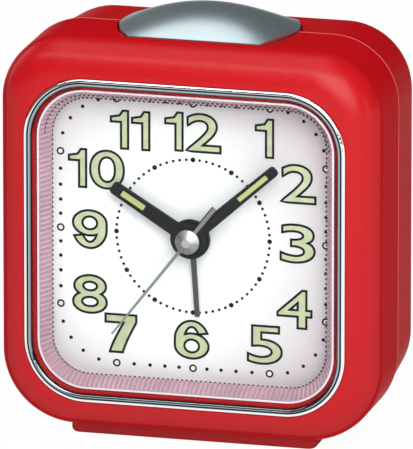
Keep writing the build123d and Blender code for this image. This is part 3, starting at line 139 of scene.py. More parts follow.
# Numerals printed on the dial, with their places in mm from the hand axis
NUMERAL_PLACES = {
    "12": (0, 16.9),
    "1": (11.6, 16.75),
    "2": (17.1, 9.7),
    "3": (17.0, 0),
    "4": (16.5, -10.7),
    "5": (11.7, -16.9),
    "6": (-0.2, -16.9),
    "7": (-11.5, -16.7),
    "8": (-16.8, -10.6),
    "9": (-16.8, 0),
    "10": (-15.7, 9.9),
    "11": (-10.2, 16.6),
}
NUMERAL_HEIGHT = 5.85 * MM
NUMERAL_WIDTH = 5.2 * MM
NUMERAL_GAP = 0.95 * MM
NUMERAL_STROKE = 0.7 * MM
NUMERAL_STEM = 1.25 * MM
NUMERAL_EDGE = 0.34 * MM
EDGE_LAP = 0.04 * MM
MITRE_LIMIT = 0.5
CURVE_STEPS = 8
ARC_STEPS = 24
ONE_WIDTH = 2.5 * MM
ONE_STEM = 0.85 * MM
FLAG_SHARE = 0.8  # height of the flag on the one in numeral heights
FLAG_HALF = 0.45 * ONE_STEM
FLAG_TIP = 0.15 * ONE_STEM
FLAG_BEND = 0.35 * ONE_STEM
ONE_CUT = 0.25 * ONE_STEM
BOWL_SHARE = 0.325  # half height of the round bowl of the six in numeral heights
BOWL_END = 119.9  # degrees on the bowl and on the hook where the two meet
HOOK_START = 163.7
HOOK_END = 26
HOOK_CUT = 4
SEVEN_WIDTH = 4.7 * MM
SEVEN_FOOT = 0.75 * MM
SEVEN_STEM = 1.8 * MM
SEVEN_LEAN = 2.3 * MM
SEVEN_BAR = 1.0 * MM
SEVEN_BEND = 1.2

# Ribs moulded on the sloping frame round the dial
SLOPE_FRONT = 23.77 * MM
SLOPE_BACK = 22.4 * MM
SLOPE_DEPTH = 2.6 * MM
WINDOW_CORNER = 16.2 * MM
RIBS_ALONG = 42
RIBS_ROUND = 14
RIB_HEIGHT = 0.16 * MM
RIB_HALF = 0.24 * MM
RIB_START = 0.06
RIB_END = 0.99
RIB_FACES = ((0, 2, 5, 3), (2, 1, 4, 5), (0, 1, 2), (3, 5, 4), (0, 3, 4, 1))
# Dark dots of painted shade where the ribs end: shares of the way down the slope, size, rise off it and sides
OUTER_SHADE_DOTS = 0.4
INNER_SHADE_DOTS = 1.0
RIB_SHADE_DOT_RADIUS = 0.23 * MM
RIB_SHADE_DOT_RISE = 0.16 * MM
RIB_SHADE_DOT_SIDES = 8

# Leaf spring under the key
LEAF_THICKNESS = 0.3 * MM


def link(obj):
    """Puts an object into the scene."""
    bpy.context.scene.collection.objects.link(obj)
    return obj


def mesh_object(name, verts, faces, material):
    """New mesh object in one material."""
    mesh = bpy.data.meshes.new(name)
    mesh.from_pydata(verts, [], faces)
    mesh.update()
    mesh.materials.append(material)
    return link(bpy.data.objects.new(name, mesh))


# Material nodes
def new_material(name):
    """New material with its node tree and main shader."""
    material = bpy.data.materials.new(name)
    material.use_nodes = True
    tree = material.node_tree
    return material, tree, tree.nodes["Principled BSDF"]


def feed(tree, sockets, values):
    """Gives each socket its value: the output of another node, or a constant."""
    for socket, value in zip(sockets, values):
        if isinstance(value, bpy.types.NodeSocket):
            tree.links.new(value, socket)
        else:
            socket.default_value = value


def number_math(tree, operation, *values):
    """Result of an operation on numbers."""
    node = tree.nodes.new("ShaderNodeMath")
    node.operation = operation
    feed(tree, node.inputs, values)
    return node.outputs["Value"]


def vector_math(tree, operation, *values):
    """Result of an operation on vectors."""
    node = tree.nodes.new("ShaderNodeVectorMath")
    node.operation = operation
    feed(tree, node.inputs, values)
    return node.outputs["Value" if operation in ("LENGTH", "DOT_PRODUCT") else "Vector"]


def place_on(tree):
    """Place on the object, which turns and moves with it."""
    return tree.nodes.new("ShaderNodeTexCoord").outputs["Object"]


def from_axis(tree, across=0.0, up=0.0):
    """Place on the object seen from the hand axis, or from a point beside it."""
    return vector_math(tree, "SUBTRACT", place_on(tree), (across, DIAL_FRONT, AXIS_Z + up))


def one_axis(tree, place, axis):
    """One of the three numbers of a place."""
    parts = tree.nodes.new("ShaderNodeSeparateXYZ")
    tree.links.new(place, parts.inputs["Vector"])
    return parts.outputs[axis]


def noise_at(tree, size):
    """Noise whose features are about this large on the object."""
    noise = tree.nodes.new("ShaderNodeTexNoise")
    noise.inputs["Scale"].default_value = 1 / size
    noise.inputs["Detail"].default_value = NOISE_DETAIL
    tree.links.new(place_on(tree), noise.inputs["Vector"])
    return noise.outputs["Fac"]


def ramp(tree, factor, *stops):
    """Colour that runs with the factor through stops of a position and a colour."""
    node = tree.nodes.new("ShaderNodeValToRGB")
    elements = node.color_ramp.elements
    elements[0].position = stops[0][0]
    elements[1].position = stops[-1][0]
    for position, colour in stops[1:-1]:
        elements.new(position)
    for element, (position, colour) in zip(elements, stops):
        element.color = (*colour, 1)
    tree.links.new(factor, node.inputs["Fac"])
    return node.outputs["Color"]


def clouded(tree, noise, low, high):
    """Colour that runs from low to high with a noise."""
    return ramp(tree, noise, (NOISE_LOW, low), (NOISE_HIGH, high))


def spread(tree, value, low, high, start=NOISE_LOW, end=NOISE_HIGH):
    """Number that runs from low to high while the value runs from start to end."""
    node = tree.nodes.new("ShaderNodeMapRange")
    node.inputs["From Min"].default_value = start
    node.inputs["From Max"].default_value = end
    node.inputs["To Min"].default_value = low
    node.inputs["To Max"].default_value = high
    tree.links.new(value, node.inputs["Value"])
    return node.outputs["Result"]


def mix_colour(tree, factor, under, over):
    """The colour of another node with a plain one laid over it."""
    node = tree.nodes.new("ShaderNodeMix")
    node.data_type = "RGBA"
    node.inputs["B"].default_value = (*over, 1)
    tree.links.new(factor, node.inputs["Factor"])
    tree.links.new(under, node.inputs["A"])
    return node.outputs["Result"]


def line_across(tree, colour, line, middle, half):
    """The colour with a line of another one at a depth of the object."""
    at_line = number_math(tree, "COMPARE", one_axis(tree, place_on(tree), "Y"), middle, half)
    return mix_colour(tree, at_line, colour, line)


def relief(tree, shader, height, strength, distance):
    """Fine relief on a shader."""
    node = tree.nodes.new("ShaderNodeBump")
    node.inputs["Strength"].default_value = strength
    node.inputs["Distance"].default_value = distance
    tree.links.new(height, node.inputs["Height"])
    tree.links.new(node.outputs["Normal"], shader.inputs["Normal"])


def mix_shaders(tree, factor, under, over):
    """Ends the material in two shaders that are mixed by a factor."""
    mix = tree.nodes.new("ShaderNodeMixShader")
    feed(tree, mix.inputs, (factor, under, over))
    tree.links.new(mix.outputs["Shader"], tree.nodes["Material Output"].inputs["Surface"])


# Materials
def surface(
    name, colour, roughness, metallic=0.0, grain=0.5 * MM, shade=0.10, bump=0.08, cloud=8 * MM, gloss=0.5
):
    """Solid material with clouded colour, uneven gloss and a fine grain."""
    material, tree, shader = new_material(name)
    dark = tuple(channel * (1 - shade) for channel in colour)
    light = tuple(min(1, channel * (1 + shade)) for channel in colour)
    fine = noise_at(tree, grain)
    smooth, rough = roughness * (1 - ROUGHNESS_SPREAD), roughness * (1 + ROUGHNESS_SPREAD)
    tree.links.new(clouded(tree, noise_at(tree, cloud), dark, light), shader.inputs["Base Color"])
    tree.links.new(spread(tree, fine, smooth, rough), shader.inputs["Roughness"])
    shader.inputs["Metallic"].default_value = metallic
    shader.inputs["Specular IOR Level"].default_value = gloss
    relief(tree, shader, fine, bump, grain * GRAIN_DEPTH)
    return material


def make_red_material():
    """Fine-grained red plastic: a painted highlight line along the joint, and less gloss where it is seen
    aslant.
    """
    material, tree, shader = new_material("red_satin")
    fine = noise_at(tree, 0.22 * MM)
    colour = clouded(tree, fine, low=(0.39, 0.004, 0.006), high=(0.49, 0.005, 0.009))
    # painted highlight: a light red line on the front shell just before the joint
    joint_highlighted = line_across(tree, colour, (0.80, 0.16, 0.17), JOINT - JOINT_HIGHLIGHT_WIDTH, JOINT_HIGHLIGHT_WIDTH)
    aslant = tree.nodes.new("ShaderNodeLayerWeight").outputs["Facing"]
    gloss = spread(tree, aslant, low=0.25, high=0.002, start=0.25, end=0.6)
    tree.links.new(joint_highlighted, shader.inputs["Base Color"])
    tree.links.new(gloss, shader.inputs["Specular IOR Level"])
    tree.links.new(spread(tree, fine, low=0.27, high=0.37), shader.inputs["Roughness"])
    relief(tree, shader, fine, strength=0.16, distance=0.04 * MM)
    return material


def make_pink_material():
    """Translucent pink plastic, darker than the ribs on it as painted shade between them, with a painted
    whitish highlight on the lip under the lens.
    """
    material, tree, shader = new_material("pink_translucent")
    fine = noise_at(tree, 0.6 * MM)
    # darker pink than the ribs: painted shade between the ribs
    colour = clouded(tree, noise_at(tree, 8 * MM), low=(0.40, 0.26, 0.35), high=(0.50, 0.31, 0.39))
    # painted highlight: a whitish line at the front of the lip
    lip_highlighted = line_across(tree, colour, (0.86, 0.76, 0.80), SURROUND_FRONT, LIP_HIGHLIGHT_HALF)
    tree.links.new(lip_highlighted, shader.inputs["Base Color"])
    tree.links.new(spread(tree, fine, low=0.2, high=0.3), shader.inputs["Roughness"])
    relief(tree, shader, fine, strength=0.05, distance=0.08 * MM)
    return material


def make_ring_material():
    """Bright plating with painted reflections: dark and light bands across the ring, the darkest along its
    middle.
    """
    material, tree, shader = new_material("bright_plating")
    moved = vector_math(tree, "SUBTRACT", place_on(tree), (0, 0, WINDOW_Z))
    corner = (WINDOW_CORNER, FAR, WINDOW_CORNER + WINDOW_STRETCH)
    past_corner = vector_math(tree, "SUBTRACT", vector_math(tree, "ABSOLUTE", moved), corner)
    reach = vector_math(tree, "LENGTH", vector_math(tree, "MAXIMUM", past_corner, (0, 0, 0)))
    outer = RING_OUTER - WINDOW_CORNER
    across = spread(tree, reach, low=0, high=1, start=outer - RING_WIDTH, end=outer)
    marks = noise_at(tree, 1.5 * MM)
    # painted reflections: dark and light bands across the ring
    tree.links.new(ramp(tree, across, *RING_REFLECTION_BANDS), shader.inputs["Base Color"])
    tree.links.new(spread(tree, marks, low=0.05, high=0.09), shader.inputs["Roughness"])
    shader.inputs["Metallic"].default_value = 1.0
    relief(tree, shader, marks, strength=0.01, distance=0.2 * MM)
    return material


def make_dial_material():
    """Matt white card with painted shade that greys it towards its corners, most at the top right."""
    material, tree, shader = new_material("dial_white")
    reach = vector_math(tree, "LENGTH", from_axis(tree, PAINTED_LIGHT_ACROSS, PAINTED_LIGHT_UP))
    painted_shade = spread(tree, reach, low=0, high=1, start=PAINTED_SHADE_START, end=PAINTED_SHADE_FULL)
    # painted shade: white near the middle, greyer towards the corners
    colour = ramp(tree, painted_shade, (0, (0.93, 0.97, 0.97)), (1, (0.57, 0.51, 0.53)))
    grain = noise_at(tree, 0.2 * MM)
    tree.links.new(colour, shader.inputs["Base Color"])
    tree.links.new(spread(tree, grain, low=0.5, high=0.65), shader.inputs["Roughness"])
    relief(tree, shader, grain, strength=0.02, distance=0.02 * MM)
    return material


def make_spun_material():
    """Bright aluminium: painted highlights as light and dark rays on the turned cap, a darker arm, and
    painted shade along the edges of the tail.
    """
    material, tree, shader = new_material("spun_aluminium")
    seen = from_axis(tree)
    ray_highlights = tree.nodes.new("ShaderNodeTexNoise")
    ray_highlights.noise_dimensions = "1D"
    ray_highlights.inputs["Scale"].default_value = CAP_HIGHLIGHT_RAYS
    ray_highlights.inputs["Detail"].default_value = 2.0
    turn = number_math(tree, "ARCTAN2", one_axis(tree, seen, "Z"), one_axis(tree, seen, "X"))
    tree.links.new(turn, ray_highlights.inputs["W"])
    # painted highlights: light and dark rays round the cap
    cap = ramp(tree, ray_highlights.outputs["Fac"], (0.35, (0.42, 0.45, 0.46)), (0.65, (0.66, 0.69, 0.70)))
    reach = vector_math(tree, "LENGTH", vector_math(tree, "MULTIPLY", seen, (1, 0, 1)))
    beyond_cap = number_math(tree, "GREATER_THAN", reach, CAP_RADIUS)
    armed = mix_colour(tree, beyond_cap, cap, (0.31, 0.32, 0.33))
    sideways = (math.cos(SECOND_TURN), 0, -math.sin(SECOND_TURN))
    off_middle = number_math(tree, "ABSOLUTE", vector_math(tree, "DOT_PRODUCT", seen, sideways))
    at_edge = number_math(tree, "GREATER_THAN", off_middle, TAIL_SHADE_EDGE)
    on_tail = number_math(tree, "MULTIPLY", at_edge, beyond_cap)
    # painted shade: dark edges along the tail
    tail_shaded = mix_colour(tree, on_tail, armed, (0.04, 0.04, 0.045))
    grain = noise_at(tree, 0.2 * MM)
    tree.links.new(tail_shaded, shader.inputs["Base Color"])
    tree.links.new(spread(tree, grain, low=0.38, high=0.50), shader.inputs["Roughness"])
    shader.inputs["Metallic"].default_value = 1.0
    relief(tree, shader, grain, strength=0.05, distance=0.02 * MM)
    return material


def make_lens_material():
    """Clear polished plastic with faint marks in its gloss."""
    material, tree, shader = new_material("clear_lens")
    tree.nodes.remove(shader)
    clear = tree.nodes.new("ShaderNodeBsdfTransparent")
    gloss = tree.nodes.new("ShaderNodeBsdfGlossy")
    edge = tree.nodes.new("ShaderNodeFresnel")
    edge.inputs["IOR"].default_value = LENS_INDEX
    marks = noise_at(tree, 3 * MM)
    tree.links.new(spread(tree, marks, low=0.01, high=0.05), gloss.inputs["Roughness"])
    mix_shaders(tree, edge.outputs["Fac"], clear.outputs["BSDF"], gloss.outputs["BSDF"])
    return material


red = make_red_material()
chrome = make_ring_material()
silver = surface(
    "silver_lacquer", (0.57, 0.68, 0.71), 0.33, metallic=1.0, grain=0.25 * MM, shade=0.03, bump=0.02
)
pink = make_pink_material()
rib_shade = surface("rib_shade", (0.07, 0.035, 0.06), 0.5, grain=0.2 * MM, shade=0.2, bump=0.05)
# lighter pink than the frame they stand on, though both are one plastic: painted light on the ribs
ribbed = surface(
    "pink_ribs", (0.59, 0.38, 0.44), 0.25, grain=0.4 * MM, shade=0.12, bump=0.05, cloud=5 * MM
)
paper = make_dial_material()
ink = surface(
    "black_ink", (0.012, 0.012, 0.014), 0.45, grain=0.15 * MM, shade=0.3, bump=0.03, gloss=0.06
)
numeral_lume = surface(
    "pale_lume", (0.53, 0.61, 0.37), 0.7, grain=0.12 * MM, shade=0.10, bump=0.10, cloud=1.5 * MM
)
ring_fill = surface("ring_fill_pale", (0.84, 0.88, 0.72), 0.6, grain=0.12 * MM, shade=0.05, bump=0.05)
hand_lume = surface("hand_lume_green", (0.46, 0.53, 0.19), 0.6, grain=0.12 * MM, shade=0.10, bump=0.10)
black_paint = surface(
    "hand_black", (0.014, 0.015, 0.017), 0.35, grain=0.2 * MM, shade=0.2, bump=0.04, gloss=0.12
)
grey_paint = surface("alarm_hand_grey", (0.06, 0.06, 0.065), 0.4, grain=0.2 * MM, shade=0.15, bump=0.04)
bright_hand = make_spun_material()
housing_plastic = surface("movement_black", (0.03, 0.03, 0.033), 0.5, grain=0.4 * MM, shade=0.2, bump=0.1)
gear_plastic = surface("gear_ivory", (0.72, 0.69, 0.58), 0.4, grain=0.3 * MM, shade=0.06, bump=0.05)
magnet = surface("magnet_grey", (0.10, 0.10, 0.11), 0.45, grain=0.2 * MM, shade=0.2, bump=0.08)
iron = surface("soft_iron", (0.42, 0.42, 0.43), 0.35, metallic=1.0, grain=0.3 * MM, shade=0.12, bump=0.08)
winding = surface(
    "copper_winding", (0.70, 0.27, 0.11), 0.3, metallic=1.0, grain=0.15 * MM, shade=0.15, bump=0.2
)
board = surface("board_green", (0.03, 0.17, 0.07), 0.4, grain=0.4 * MM, shade=0.15, bump=0.06)
can = surface("crystal_can", (0.68, 0.68, 0.70), 0.2, metallic=1.0, grain=0.3 * MM, shade=0.06, bump=0.03)
chip = surface("chip_black", (0.02, 0.02, 0.02), 0.55, grain=0.2 * MM, shade=0.2, bump=0.1)
brass = surface(
    "sounder_brass", (0.70, 0.50, 0.20), 0.3, metallic=1.0, grain=0.3 * MM, shade=0.10, bump=0.04
)
cell = surface("cell_wrap", (0.12, 0.13, 0.15), 0.3, grain=0.5 * MM, shade=0.12, bump=0.02)
contact = surface(
    "contact_steel", (0.62, 0.62, 0.62), 0.25, metallic=1.0, grain=0.3 * MM, shade=0.08, bump=0.04
)
control = surface("control_black", (0.025, 0.025, 0.027), 0.45, grain=0.3 * MM, shade=0.2, bump=0.1)
screw = surface("screw_steel", (0.52, 0.52, 0.53), 0.3, metallic=1.0, grain=0.2 * MM, shade=0.10, bump=0.06)


# Materials of the CAD nodes
def dress(material, *names):
    """Gives CAD nodes their material."""
    for name in names:
        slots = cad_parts[name].data.materials
        slots.clear()
        slots.append(material)


dress(red, "front_case", "rear_case", "foot", "battery_door")
dress(chrome, "bezel_ring")
dress(silver, "snooze_button")
dress(make_lens_material(), "lens")
dress(pink, "dial_surround")
dress(paper, "dial")
dress(black_paint, "hour_hand", "minute_hand")
dress(hand_lume, "hour_hand_lume", "minute_hand_lume")
dress(grey_paint, "alarm_hand")
dress(bright_hand, "second_hand")
dress(housing_plastic, "movement_housing", "rear_plate")
dress(gear_plastic, "middle_plate", "intermediate_wheel", "second_wheel", "third_wheel", "centre_wheel")
dress(gear_plastic, "cannon_pinion", "minute_wheel", "hour_wheel", "alarm_wheel")
dress(gear_plastic, "time_set_arbor", "alarm_set_arbor")
dress(magnet, "rotor")
dress(iron, "stator", "coil_core")
dress(winding, "coil")
dress(board, "circuit_board")
dress(can, "quartz_crystal")
dress(chip, "driver_chip")
dress(brass, "sounder")
dress(cell, "battery")
dress(contact, "contact_plus", "contact_minus", "snooze_spring")
dress(control, "time_set_knob", "alarm_set_knob", "alarm_switch")
dress(screw, "case_screws", "movement_screws", "plate_screws")


# Dots and rings of the dial
def on_dial(x, z, layer):
    """Point in a layer of print, from its place beside and above the hand axis."""
    return (x, DIAL_FRONT - layer * PRINT_LAYER, AXIS_Z + z)


def track_point(minute):
    """Where a ray from the hand axis meets the rounded square of the minute track."""
    turn = 2 * math.pi * minute / MINUTES
    across, up = math.sin(turn), math.cos(turn)
    reach = TRACK_HALF / max(abs(across), abs(up))
    centre = TRACK_HALF - TRACK_CORNER
    if min(abs(across), abs(up)) * reach > centre:
        middle = centre * (abs(across) + abs(up))
        reach = middle + math.sqrt(middle**2 - 2 * centre**2 + TRACK_CORNER**2)
    return across * reach, up * reach


def circle(at, radius, sides):
    """Points of a printed circle, clockwise from the top."""
    turns = [2 * math.pi * step / sides for step in range(sides)]
    return [
        on_dial(at[0] + radius * math.sin(turn), at[1] + radius * math.cos(turn), DOT_LAYER) for turn in turns
    ]


def add_dot(verts, faces, at, radius, sides):
    """Adds a printed dot to a mesh being gathered."""
    first = len(verts)
    verts += circle(at, radius, sides)
    faces.append([first + step for step in reversed(range(sides))])


def add_ring(verts, faces, at, radius, hole, sides):
    """Adds a printed ring to a mesh being gathered."""
    first = len(verts)
    verts += circle(at, radius, sides) + circle(at, hole, sides)
    for here in range(sides):
        after = (here + 1) % sides
        faces.append([first + here, first + sides + here, first + sides + after, first + after])


def make_tracks():
    """Minute track with a filled ring at each hour, and the dot circle of the alarm hand."""
    verts, faces = [], []
    fill_verts, fill_faces = [], []
    for minute in range(MINUTES):
        at = track_point(minute)
        if minute % (MINUTES // HOURS):
            add_dot(verts, faces, at, MINUTE_DOT, DOT_SIDES)
        else:
            add_ring(verts, faces, at, HOUR_RING, HOUR_RING_HOLE, RING_SIDES)
            add_dot(fill_verts, fill_faces, at, HOUR_RING_HOLE, RING_SIDES)
    for step in range(ALARM_DOTS):
        turn = 2 * math.pi * step / ALARM_DOTS
        at = (ALARM_CIRCLE * math.sin(turn), ALARM_CIRCLE * math.cos(turn))
        hourly = step % (ALARM_DOTS // HOURS) == 0
        add_dot(verts, faces, at, ALARM_HOUR_DOT if hourly else ALARM_DOT, DOT_SIDES)
    tracks = mesh_object("dial_tracks", verts, faces, ink)
    fills = mesh_object("dial_ring_fills", fill_verts, fill_faces, ring_fill)
    return tracks, fills


# Outlines of the numerals
def digit_loops(digit):
    """Outlines of one digit of a plain typeface, drawn out to the width and height of the numerals."""
    text = bpy.data.curves.new("digit_text", "FONT")
    text.body = digit
    holder = link(bpy.data.objects.new("digit_text", text))
    bpy.context.view_layer.update()
    outline = holder.to_curve(bpy.context.evaluated_depsgraph_get())
    loops = []
    for spline in outline.splines:
        points = list(spline.bezier_points)
        loop = []
        for here, after in zip(points, points[1:] + points[:1]):
            steps = interpolate_bezier(here.co, here.handle_right, after.handle_left, after.co, CURVE_STEPS)
            loop += [(step.x, step.y) for step in steps[:-1]]
        loops.append(loop)
    bpy.data.objects.remove(holder)
    left = min(x for loop in loops for x, y in loop)
    right = max(x for loop in loops for x, y in loop)
    low = min(y for loop in loops for x, y in loop)
    high = max(y for loop in loops for x, y in loop)
    across = NUMERAL_WIDTH / (right - left)
    up = NUMERAL_HEIGHT / (high - low)
    return [[((x - left) * across, (y - low) * up) for x, y in loop] for loop in loops]


def one_loops():
    """The numeral one: a stem with a short flag and no foot."""
    flag = NUMERAL_HEIGHT * FLAG_SHARE
    left = ONE_WIDTH - ONE_STEM
    return [[
        (left, 0),
        (ONE_WIDTH, 0),
        (ONE_WIDTH, NUMERAL_HEIGHT),
        (left + ONE_CUT, NUMERAL_HEIGHT),
        (left - FLAG_BEND, flag + FLAG_HALF),
        (0, flag + FLAG_TIP),
        (0, flag - FLAG_HALF),
        (left, flag - FLAG_HALF),
    ]]


def oval(centre, reach, start, end):
    """Points along an oval from one angle to another, in degrees anticlockwise from the right."""
    turns = [math.radians(start + (end - start) * step / ARC_STEPS) for step in range(ARC_STEPS + 1)]
    return [(centre[0] + reach[0] * math.cos(turn), centre[1] + reach[1] * math.sin(turn)) for turn in turns]


def six_loops():
    """The numeral six: a round bowl under the left half of a tall oval, whose top hooks over to the right."""
    half, high = NUMERAL_WIDTH / 2, NUMERAL_HEIGHT / 2
    bowl = NUMERAL_HEIGHT * BOWL_SHARE
    inside = half - NUMERAL_STEM
    outer = oval((half, high), (half, high), HOOK_END, 180)
    round_bowl = oval((half, bowl), (half, bowl), 180, 360 + BOWL_END)
    inner = oval((half, high), (inside, high - NUMERAL_STROKE), HOOK_START, HOOK_END + HOOK_CUT)
    hole = oval((half, bowl), (inside, bowl - NUMERAL_STROKE), 360, 0)
    return [outer + round_bowl + inner, hole[:-1]]


def seven_loops():
    """The numeral seven: a bar with a stem that starts steep at the foot and bends over to the right."""
    under = NUMERAL_HEIGHT - SEVEN_BAR
    foot_end = SEVEN_FOOT + SEVEN_STEM
    shares = [step / ARC_STEPS for step in range(ARC_STEPS + 1)]
    left = [(SEVEN_FOOT + SEVEN_LEAN * share**SEVEN_BEND, under * share) for share in shares]
    right = [(foot_end + (SEVEN_WIDTH - foot_end) * share**SEVEN_BEND, under * share) for share in shares]
    return [[(0, NUMERAL_HEIGHT), (0, under)] + left[::-1] + right + [(SEVEN_WIDTH, NUMERAL_HEIGHT)]]


def nine_loops():
    """The numeral nine: the six turned half round."""
    return [[(NUMERAL_WIDTH - x, NUMERAL_HEIGHT - y) for x, y in loop] for loop in six_loops()]


# Meshes of the numerals
OWN_NUMERALS = {"1": one_loops, "6": six_loops, "7": seven_loops, "9": nine_loops}


def area(loop):
    """Area inside a loop, negative where it runs clockwise."""
    return sum(a[0] * b[1] - b[0] * a[1] for a, b in zip(loop, loop[1:] + loop[:1])) / 2


def without_repeats(loop):
    """The loop without points that lie on the one before."""
    return [point for point, last in zip(loop, loop[-1:] + loop[:-1]) if math.dist(point, last) > PRINT_LAYER]


def push_out(loop, distance, side):
    """The loop moved sideways by a distance, with its corners mitred."""
    moved = []
    for before, here, after in zip(loop[-1:] + loop[:-1], loop, loop[1:] + loop[:1]):
        first = (Vector(here) - Vector(before)).normalized()
        second = (Vector(after) - Vector(here)).normalized()
        normal = Vector((first.y + second.y, -first.x - second.x)) * side
        moved.append(Vector(here) + normal * distance / max(MITRE_LIMIT, 1 + first.dot(second)))
    return moved


def edge_mesh(loops):
    """Verts and faces of an even black edge round the outlines."""
    side = 1 if area(max(loops, key=lambda loop: abs(area(loop)))) > 0 else -1
    verts, faces = [], []
    for loop in map(without_repeats, loops):
        inner = push_out(loop, -EDGE_LAP, side)
        outer = push_out(loop, NUMERAL_EDGE, side)
        first, count = len(verts), len(loop)
        verts += inner + outer
        for step in range(count):
            after = (step + 1) % count
            faces.append([first + step, first + after, first + count + after, first + count + step])
    return verts, faces


def fill_mesh(loops):
    """Verts and faces of the filled outlines."""
    curve = bpy.data.curves.new("numeral_fill", "CURVE")
    curve.dimensions = "2D"
    curve.fill_mode = "BOTH"
    for loop in map(without_repeats, loops):
        spline = curve.splines.new("POLY")
        spline.points.add(len(loop) - 1)
        for point, (x, y) in zip(spline.points, loop):
            point.co = (x / MM, y / MM, 0, 1)
        spline.use_cyclic_u = True
    holder = link(bpy.data.objects.new("numeral_fill", curve))
    bpy.context.view_layer.update()
    mesh = bpy.data.meshes.new_from_object(holder.evaluated_get(bpy.context.evaluated_depsgraph_get()))
    verts = [vertex.co.xy * MM for vertex in mesh.vertices]
    faces = [list(polygon.vertices) for polygon in mesh.polygons]
    bpy.data.objects.remove(holder)
    bpy.data.meshes.remove(mesh)
    return verts, faces


def make_numerals(name, shape, layer, material):
    """All twelve numerals as one printed layer."""
    verts, faces = [], []
    for label, (across, up) in NUMERAL_PLACES.items():
        widths = [ONE_WIDTH if digit == "1" else NUMERAL_WIDTH for digit in label]
        left = across * MM - (sum(widths) + NUMERAL_GAP * (len(label) - 1)) / 2
        low = up * MM - NUMERAL_HEIGHT / 2
        for digit, width in zip(label, widths):
            loops = OWN_NUMERALS[digit]() if digit in OWN_NUMERALS else digit_loops(digit)
            digit_verts, digit_faces = shape(loops)
            first = len(verts)
            verts += [on_dial(left + x, low + y, layer) for x, y in digit_verts]
            faces += [[first + index for index in face] for face in digit_faces]
            left += width + NUMERAL_GAP
    return mesh_object(name, verts, faces, material)


# Sloping frame round the dial
def slope_stations():
    """Turn, place along the side and bend of each rib round the sloping frame."""
    stations = []
    for side in range(4):
        turn = side * math.pi / 2
        for step in range(RIBS_ALONG):
            stations.append((turn, WINDOW_CORNER * (2 * (step + 0.5) / RIBS_ALONG - 1), 0.0))
        for step in range(RIBS_ROUND):
            stations.append((turn, WINDOW_CORNER, math.pi / 2 * (step + 0.5) / RIBS_ROUND))
    return stations


def on_slope(station, share, sideways, rise):
    """Point on the sloping frame: share of the way down it, sideways along it and raised off it."""
    turn, along, bend = station
    lean = Vector((SLOPE_FRONT - SLOPE_BACK, SLOPE_DEPTH)).normalized()
    out = SLOPE_FRONT + (SLOPE_BACK - SLOPE_FRONT) * share - WINDOW_CORNER - rise * lean.y
    x = along + out * math.sin(bend) + sideways * math.cos(bend)
    z = WINDOW_CORNER + out * math.cos(bend) - sideways * math.sin(bend)
    up = z * math.cos(turn) - x * math.sin(turn)
    stretch = WINDOW_STRETCH * max(-1, min(1, up / WINDOW_CORNER))
    return (
        x * math.cos(turn) + z * math.sin(turn),
        SURROUND_FRONT + SLOPE_DEPTH * share - rise * lean.x,
        WINDOW_Z + up + stretch,
    )


def make_ribs():
    """Fine ribs down the slope of the frame round the dial."""
    verts, faces = [], []
    for station in slope_stations():
        first = len(verts)
        for share in (RIB_START, RIB_END):
            verts.append(on_slope(station, share, -RIB_HALF, 0))
            verts.append(on_slope(station, share, RIB_HALF, 0))
            verts.append(on_slope(station, share, 0, RIB_HEIGHT))
        faces += [[first + corner for corner in face] for face in RIB_FACES]
    ribs = mesh_object("surround_ribs", verts, faces, ribbed)
    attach(ribs, "case")


def make_rib_shade_dots():
    """Dark dots of painted shade at the rib ends by the dial, and a second row half way up along the top."""
    stations = slope_stations()
    top = WINDOW_Z + WINDOW_CORNER
    places = [(station, INNER_SHADE_DOTS) for station in stations]
    places += [(station, OUTER_SHADE_DOTS) for station in stations if on_slope(station, OUTER_SHADE_DOTS, 0, 0)[2] > top]
    verts, faces = [], []
    for station, share in places:
        first = len(verts)
        for step in range(RIB_SHADE_DOT_SIDES):
            turn = 2 * math.pi * step / RIB_SHADE_DOT_SIDES
            sideways, rise = RIB_SHADE_DOT_RADIUS * math.sin(turn), RIB_SHADE_DOT_RADIUS * math.cos(turn)
            verts.append(on_slope(station, share, sideways, RIB_SHADE_DOT_RISE + rise))
        faces.append([first + step for step in range(RIB_SHADE_DOT_SIDES)])
    shade_dots = mesh_object("surround_shade_dots", verts, faces, rib_shade)
    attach(shade_dots, "case")


# Leaf spring
def make_leaf():
    """Bent leaf spring under the key."""
    low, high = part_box("snooze_spring")
    bend = low.x / 2
    top = high.z - LEAF_THICKNESS
    under = [(low.x, low.z), (bend, low.z), (-high.x, top), (high.x, top)]
    outline = under + [(x, z + LEAF_THICKNESS) for x, z in reversed(under)]
    count = len(outline)
    verts = [(x, depth, z) for depth in (low.y, high.y) for x, z in outline]
    faces = []
    for start in range(len(under) - 1):
        front = [start, start + 1, count - 2 - start, count - 1 - start]
        faces.append(front)
        faces.append([count + corner for corner in reversed(front)])
    for here in range(count):
        after = (here + 1) % count
        faces.append([after, here, count + here, count + after])
    leaf = mesh_object("snooze_leaf", verts, faces, contact)
    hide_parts("snooze_spring")
    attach(leaf, "case")
    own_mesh(leaf)


make_leaf()
make_rib_shade_dots()
make_ribs()
printed = [
    *make_tracks(),
    make_numerals("dial_numeral_fills", fill_mesh, FILL_LAYER, numeral_lume),
    make_numerals("dial_numeral_edges", edge_mesh, EDGE_LAYER, ink),
]
for piece in printed:
    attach(piece, "case")


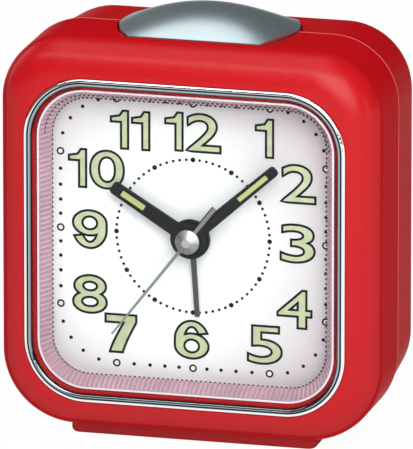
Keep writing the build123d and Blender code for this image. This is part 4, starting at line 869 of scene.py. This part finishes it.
# Stage
def make_floor():
    """Pale floor that is seen as nearly white and keeps the clock's shadow."""
    material, tree, shader = new_material("floor_white")
    shader.inputs["Base Color"].default_value = FLOOR_COLOUR
    shader.inputs["Roughness"].default_value = FLOOR_ROUGHNESS
    path = tree.nodes.new("ShaderNodeLightPath").outputs
    seen = number_math(tree, "MAXIMUM", path["Is Camera Ray"], path["Is Glossy Ray"])
    shown = number_math(tree, "MAXIMUM", seen, path["Is Transmission Ray"])
    white = number_math(tree, "MULTIPLY", shown, FLOOR_WHITE)
    glow = tree.nodes.new("ShaderNodeEmission")
    mix_shaders(tree, white, shader.outputs["BSDF"], glow.outputs["Emission"])
    signs = ((-1, -1), (1, -1), (1, 1), (-1, 1))
    corners = [(across * FLOOR_HALF, along * FLOOR_HALF, 0) for across, along in signs]
    mesh_object("floor", corners, [(0, 1, 2, 3)], material)


def add_lamp(name, direction, distance, width, height, power):
    """Soft panel lamp that faces the clock from this direction."""
    lamp = bpy.data.lights.new(name, "AREA")
    lamp.shape = "RECTANGLE"
    lamp.size = width
    lamp.size_y = height
    lamp.energy = power
    holder = link(bpy.data.objects.new(name, lamp))
    towards = Vector(direction).normalized()
    holder.location = Vector((0, 0, AXIS_Z)) + towards * distance
    holder.rotation_euler = towards.to_track_quat("Z", "Y").to_euler()


def make_world():
    """Weak even light from all round."""
    world = bpy.data.worlds.new("studio")
    world.use_nodes = True
    bpy.context.scene.world = world
    sky = world.node_tree.nodes["Background"]
    sky.inputs["Color"].default_value = SKY_COLOUR
    sky.inputs["Strength"].default_value = SKY_STRENGTH


def make_camera():
    """Camera at the angle of the photograph."""
    away = Vector((
        math.sin(CAMERA_TURN) * math.cos(CAMERA_RISE),
        -math.cos(CAMERA_TURN) * math.cos(CAMERA_RISE),
        math.sin(CAMERA_RISE),
    ))
    right = Vector((math.cos(CAMERA_TURN), math.sin(CAMERA_TURN), 0))
    up = away.cross(right)
    aim = Vector((0, CASE_FRONT + AIM_DEPTH, AXIS_Z)) + right * AIM_RIGHT + up * AIM_UP
    lens = bpy.data.cameras.new("camera")
    lens.sensor_width = SENSOR
    lens.lens = SENSOR * CAMERA_DISTANCE / VIEW_HEIGHT
    camera = link(bpy.data.objects.new("camera", lens))
    turn = Matrix((right, up, away)).transposed().to_4x4()
    camera.matrix_world = Matrix.Translation(aim + away * CAMERA_DISTANCE) @ turn
    bpy.context.scene.camera = camera


make_floor()
make_world()
add_lamp("front_lamp", (0.36, -0.74, 0.52), distance=0.36, width=0.3, height=0.3, power=1.35)
add_lamp("edge_lamp", (-0.25, -0.57, 0.79), distance=0.6, width=0.7, height=0.04, power=0.9)
add_lamp("top_lamp", (-0.12, -0.06, 0.97), distance=0.6, width=0.6, height=0.45, power=1.1)
add_lamp("back_lamp", (-0.8, 0.55, 0.2), distance=0.8, width=0.4, height=0.5, power=2.2)
add_lamp("side_lamp", (0.96, -0.12, 0.05), distance=0.6, width=0.12, height=0.4, power=0.3)
make_camera()

bpy.context.scene.view_settings.view_transform = "Standard"
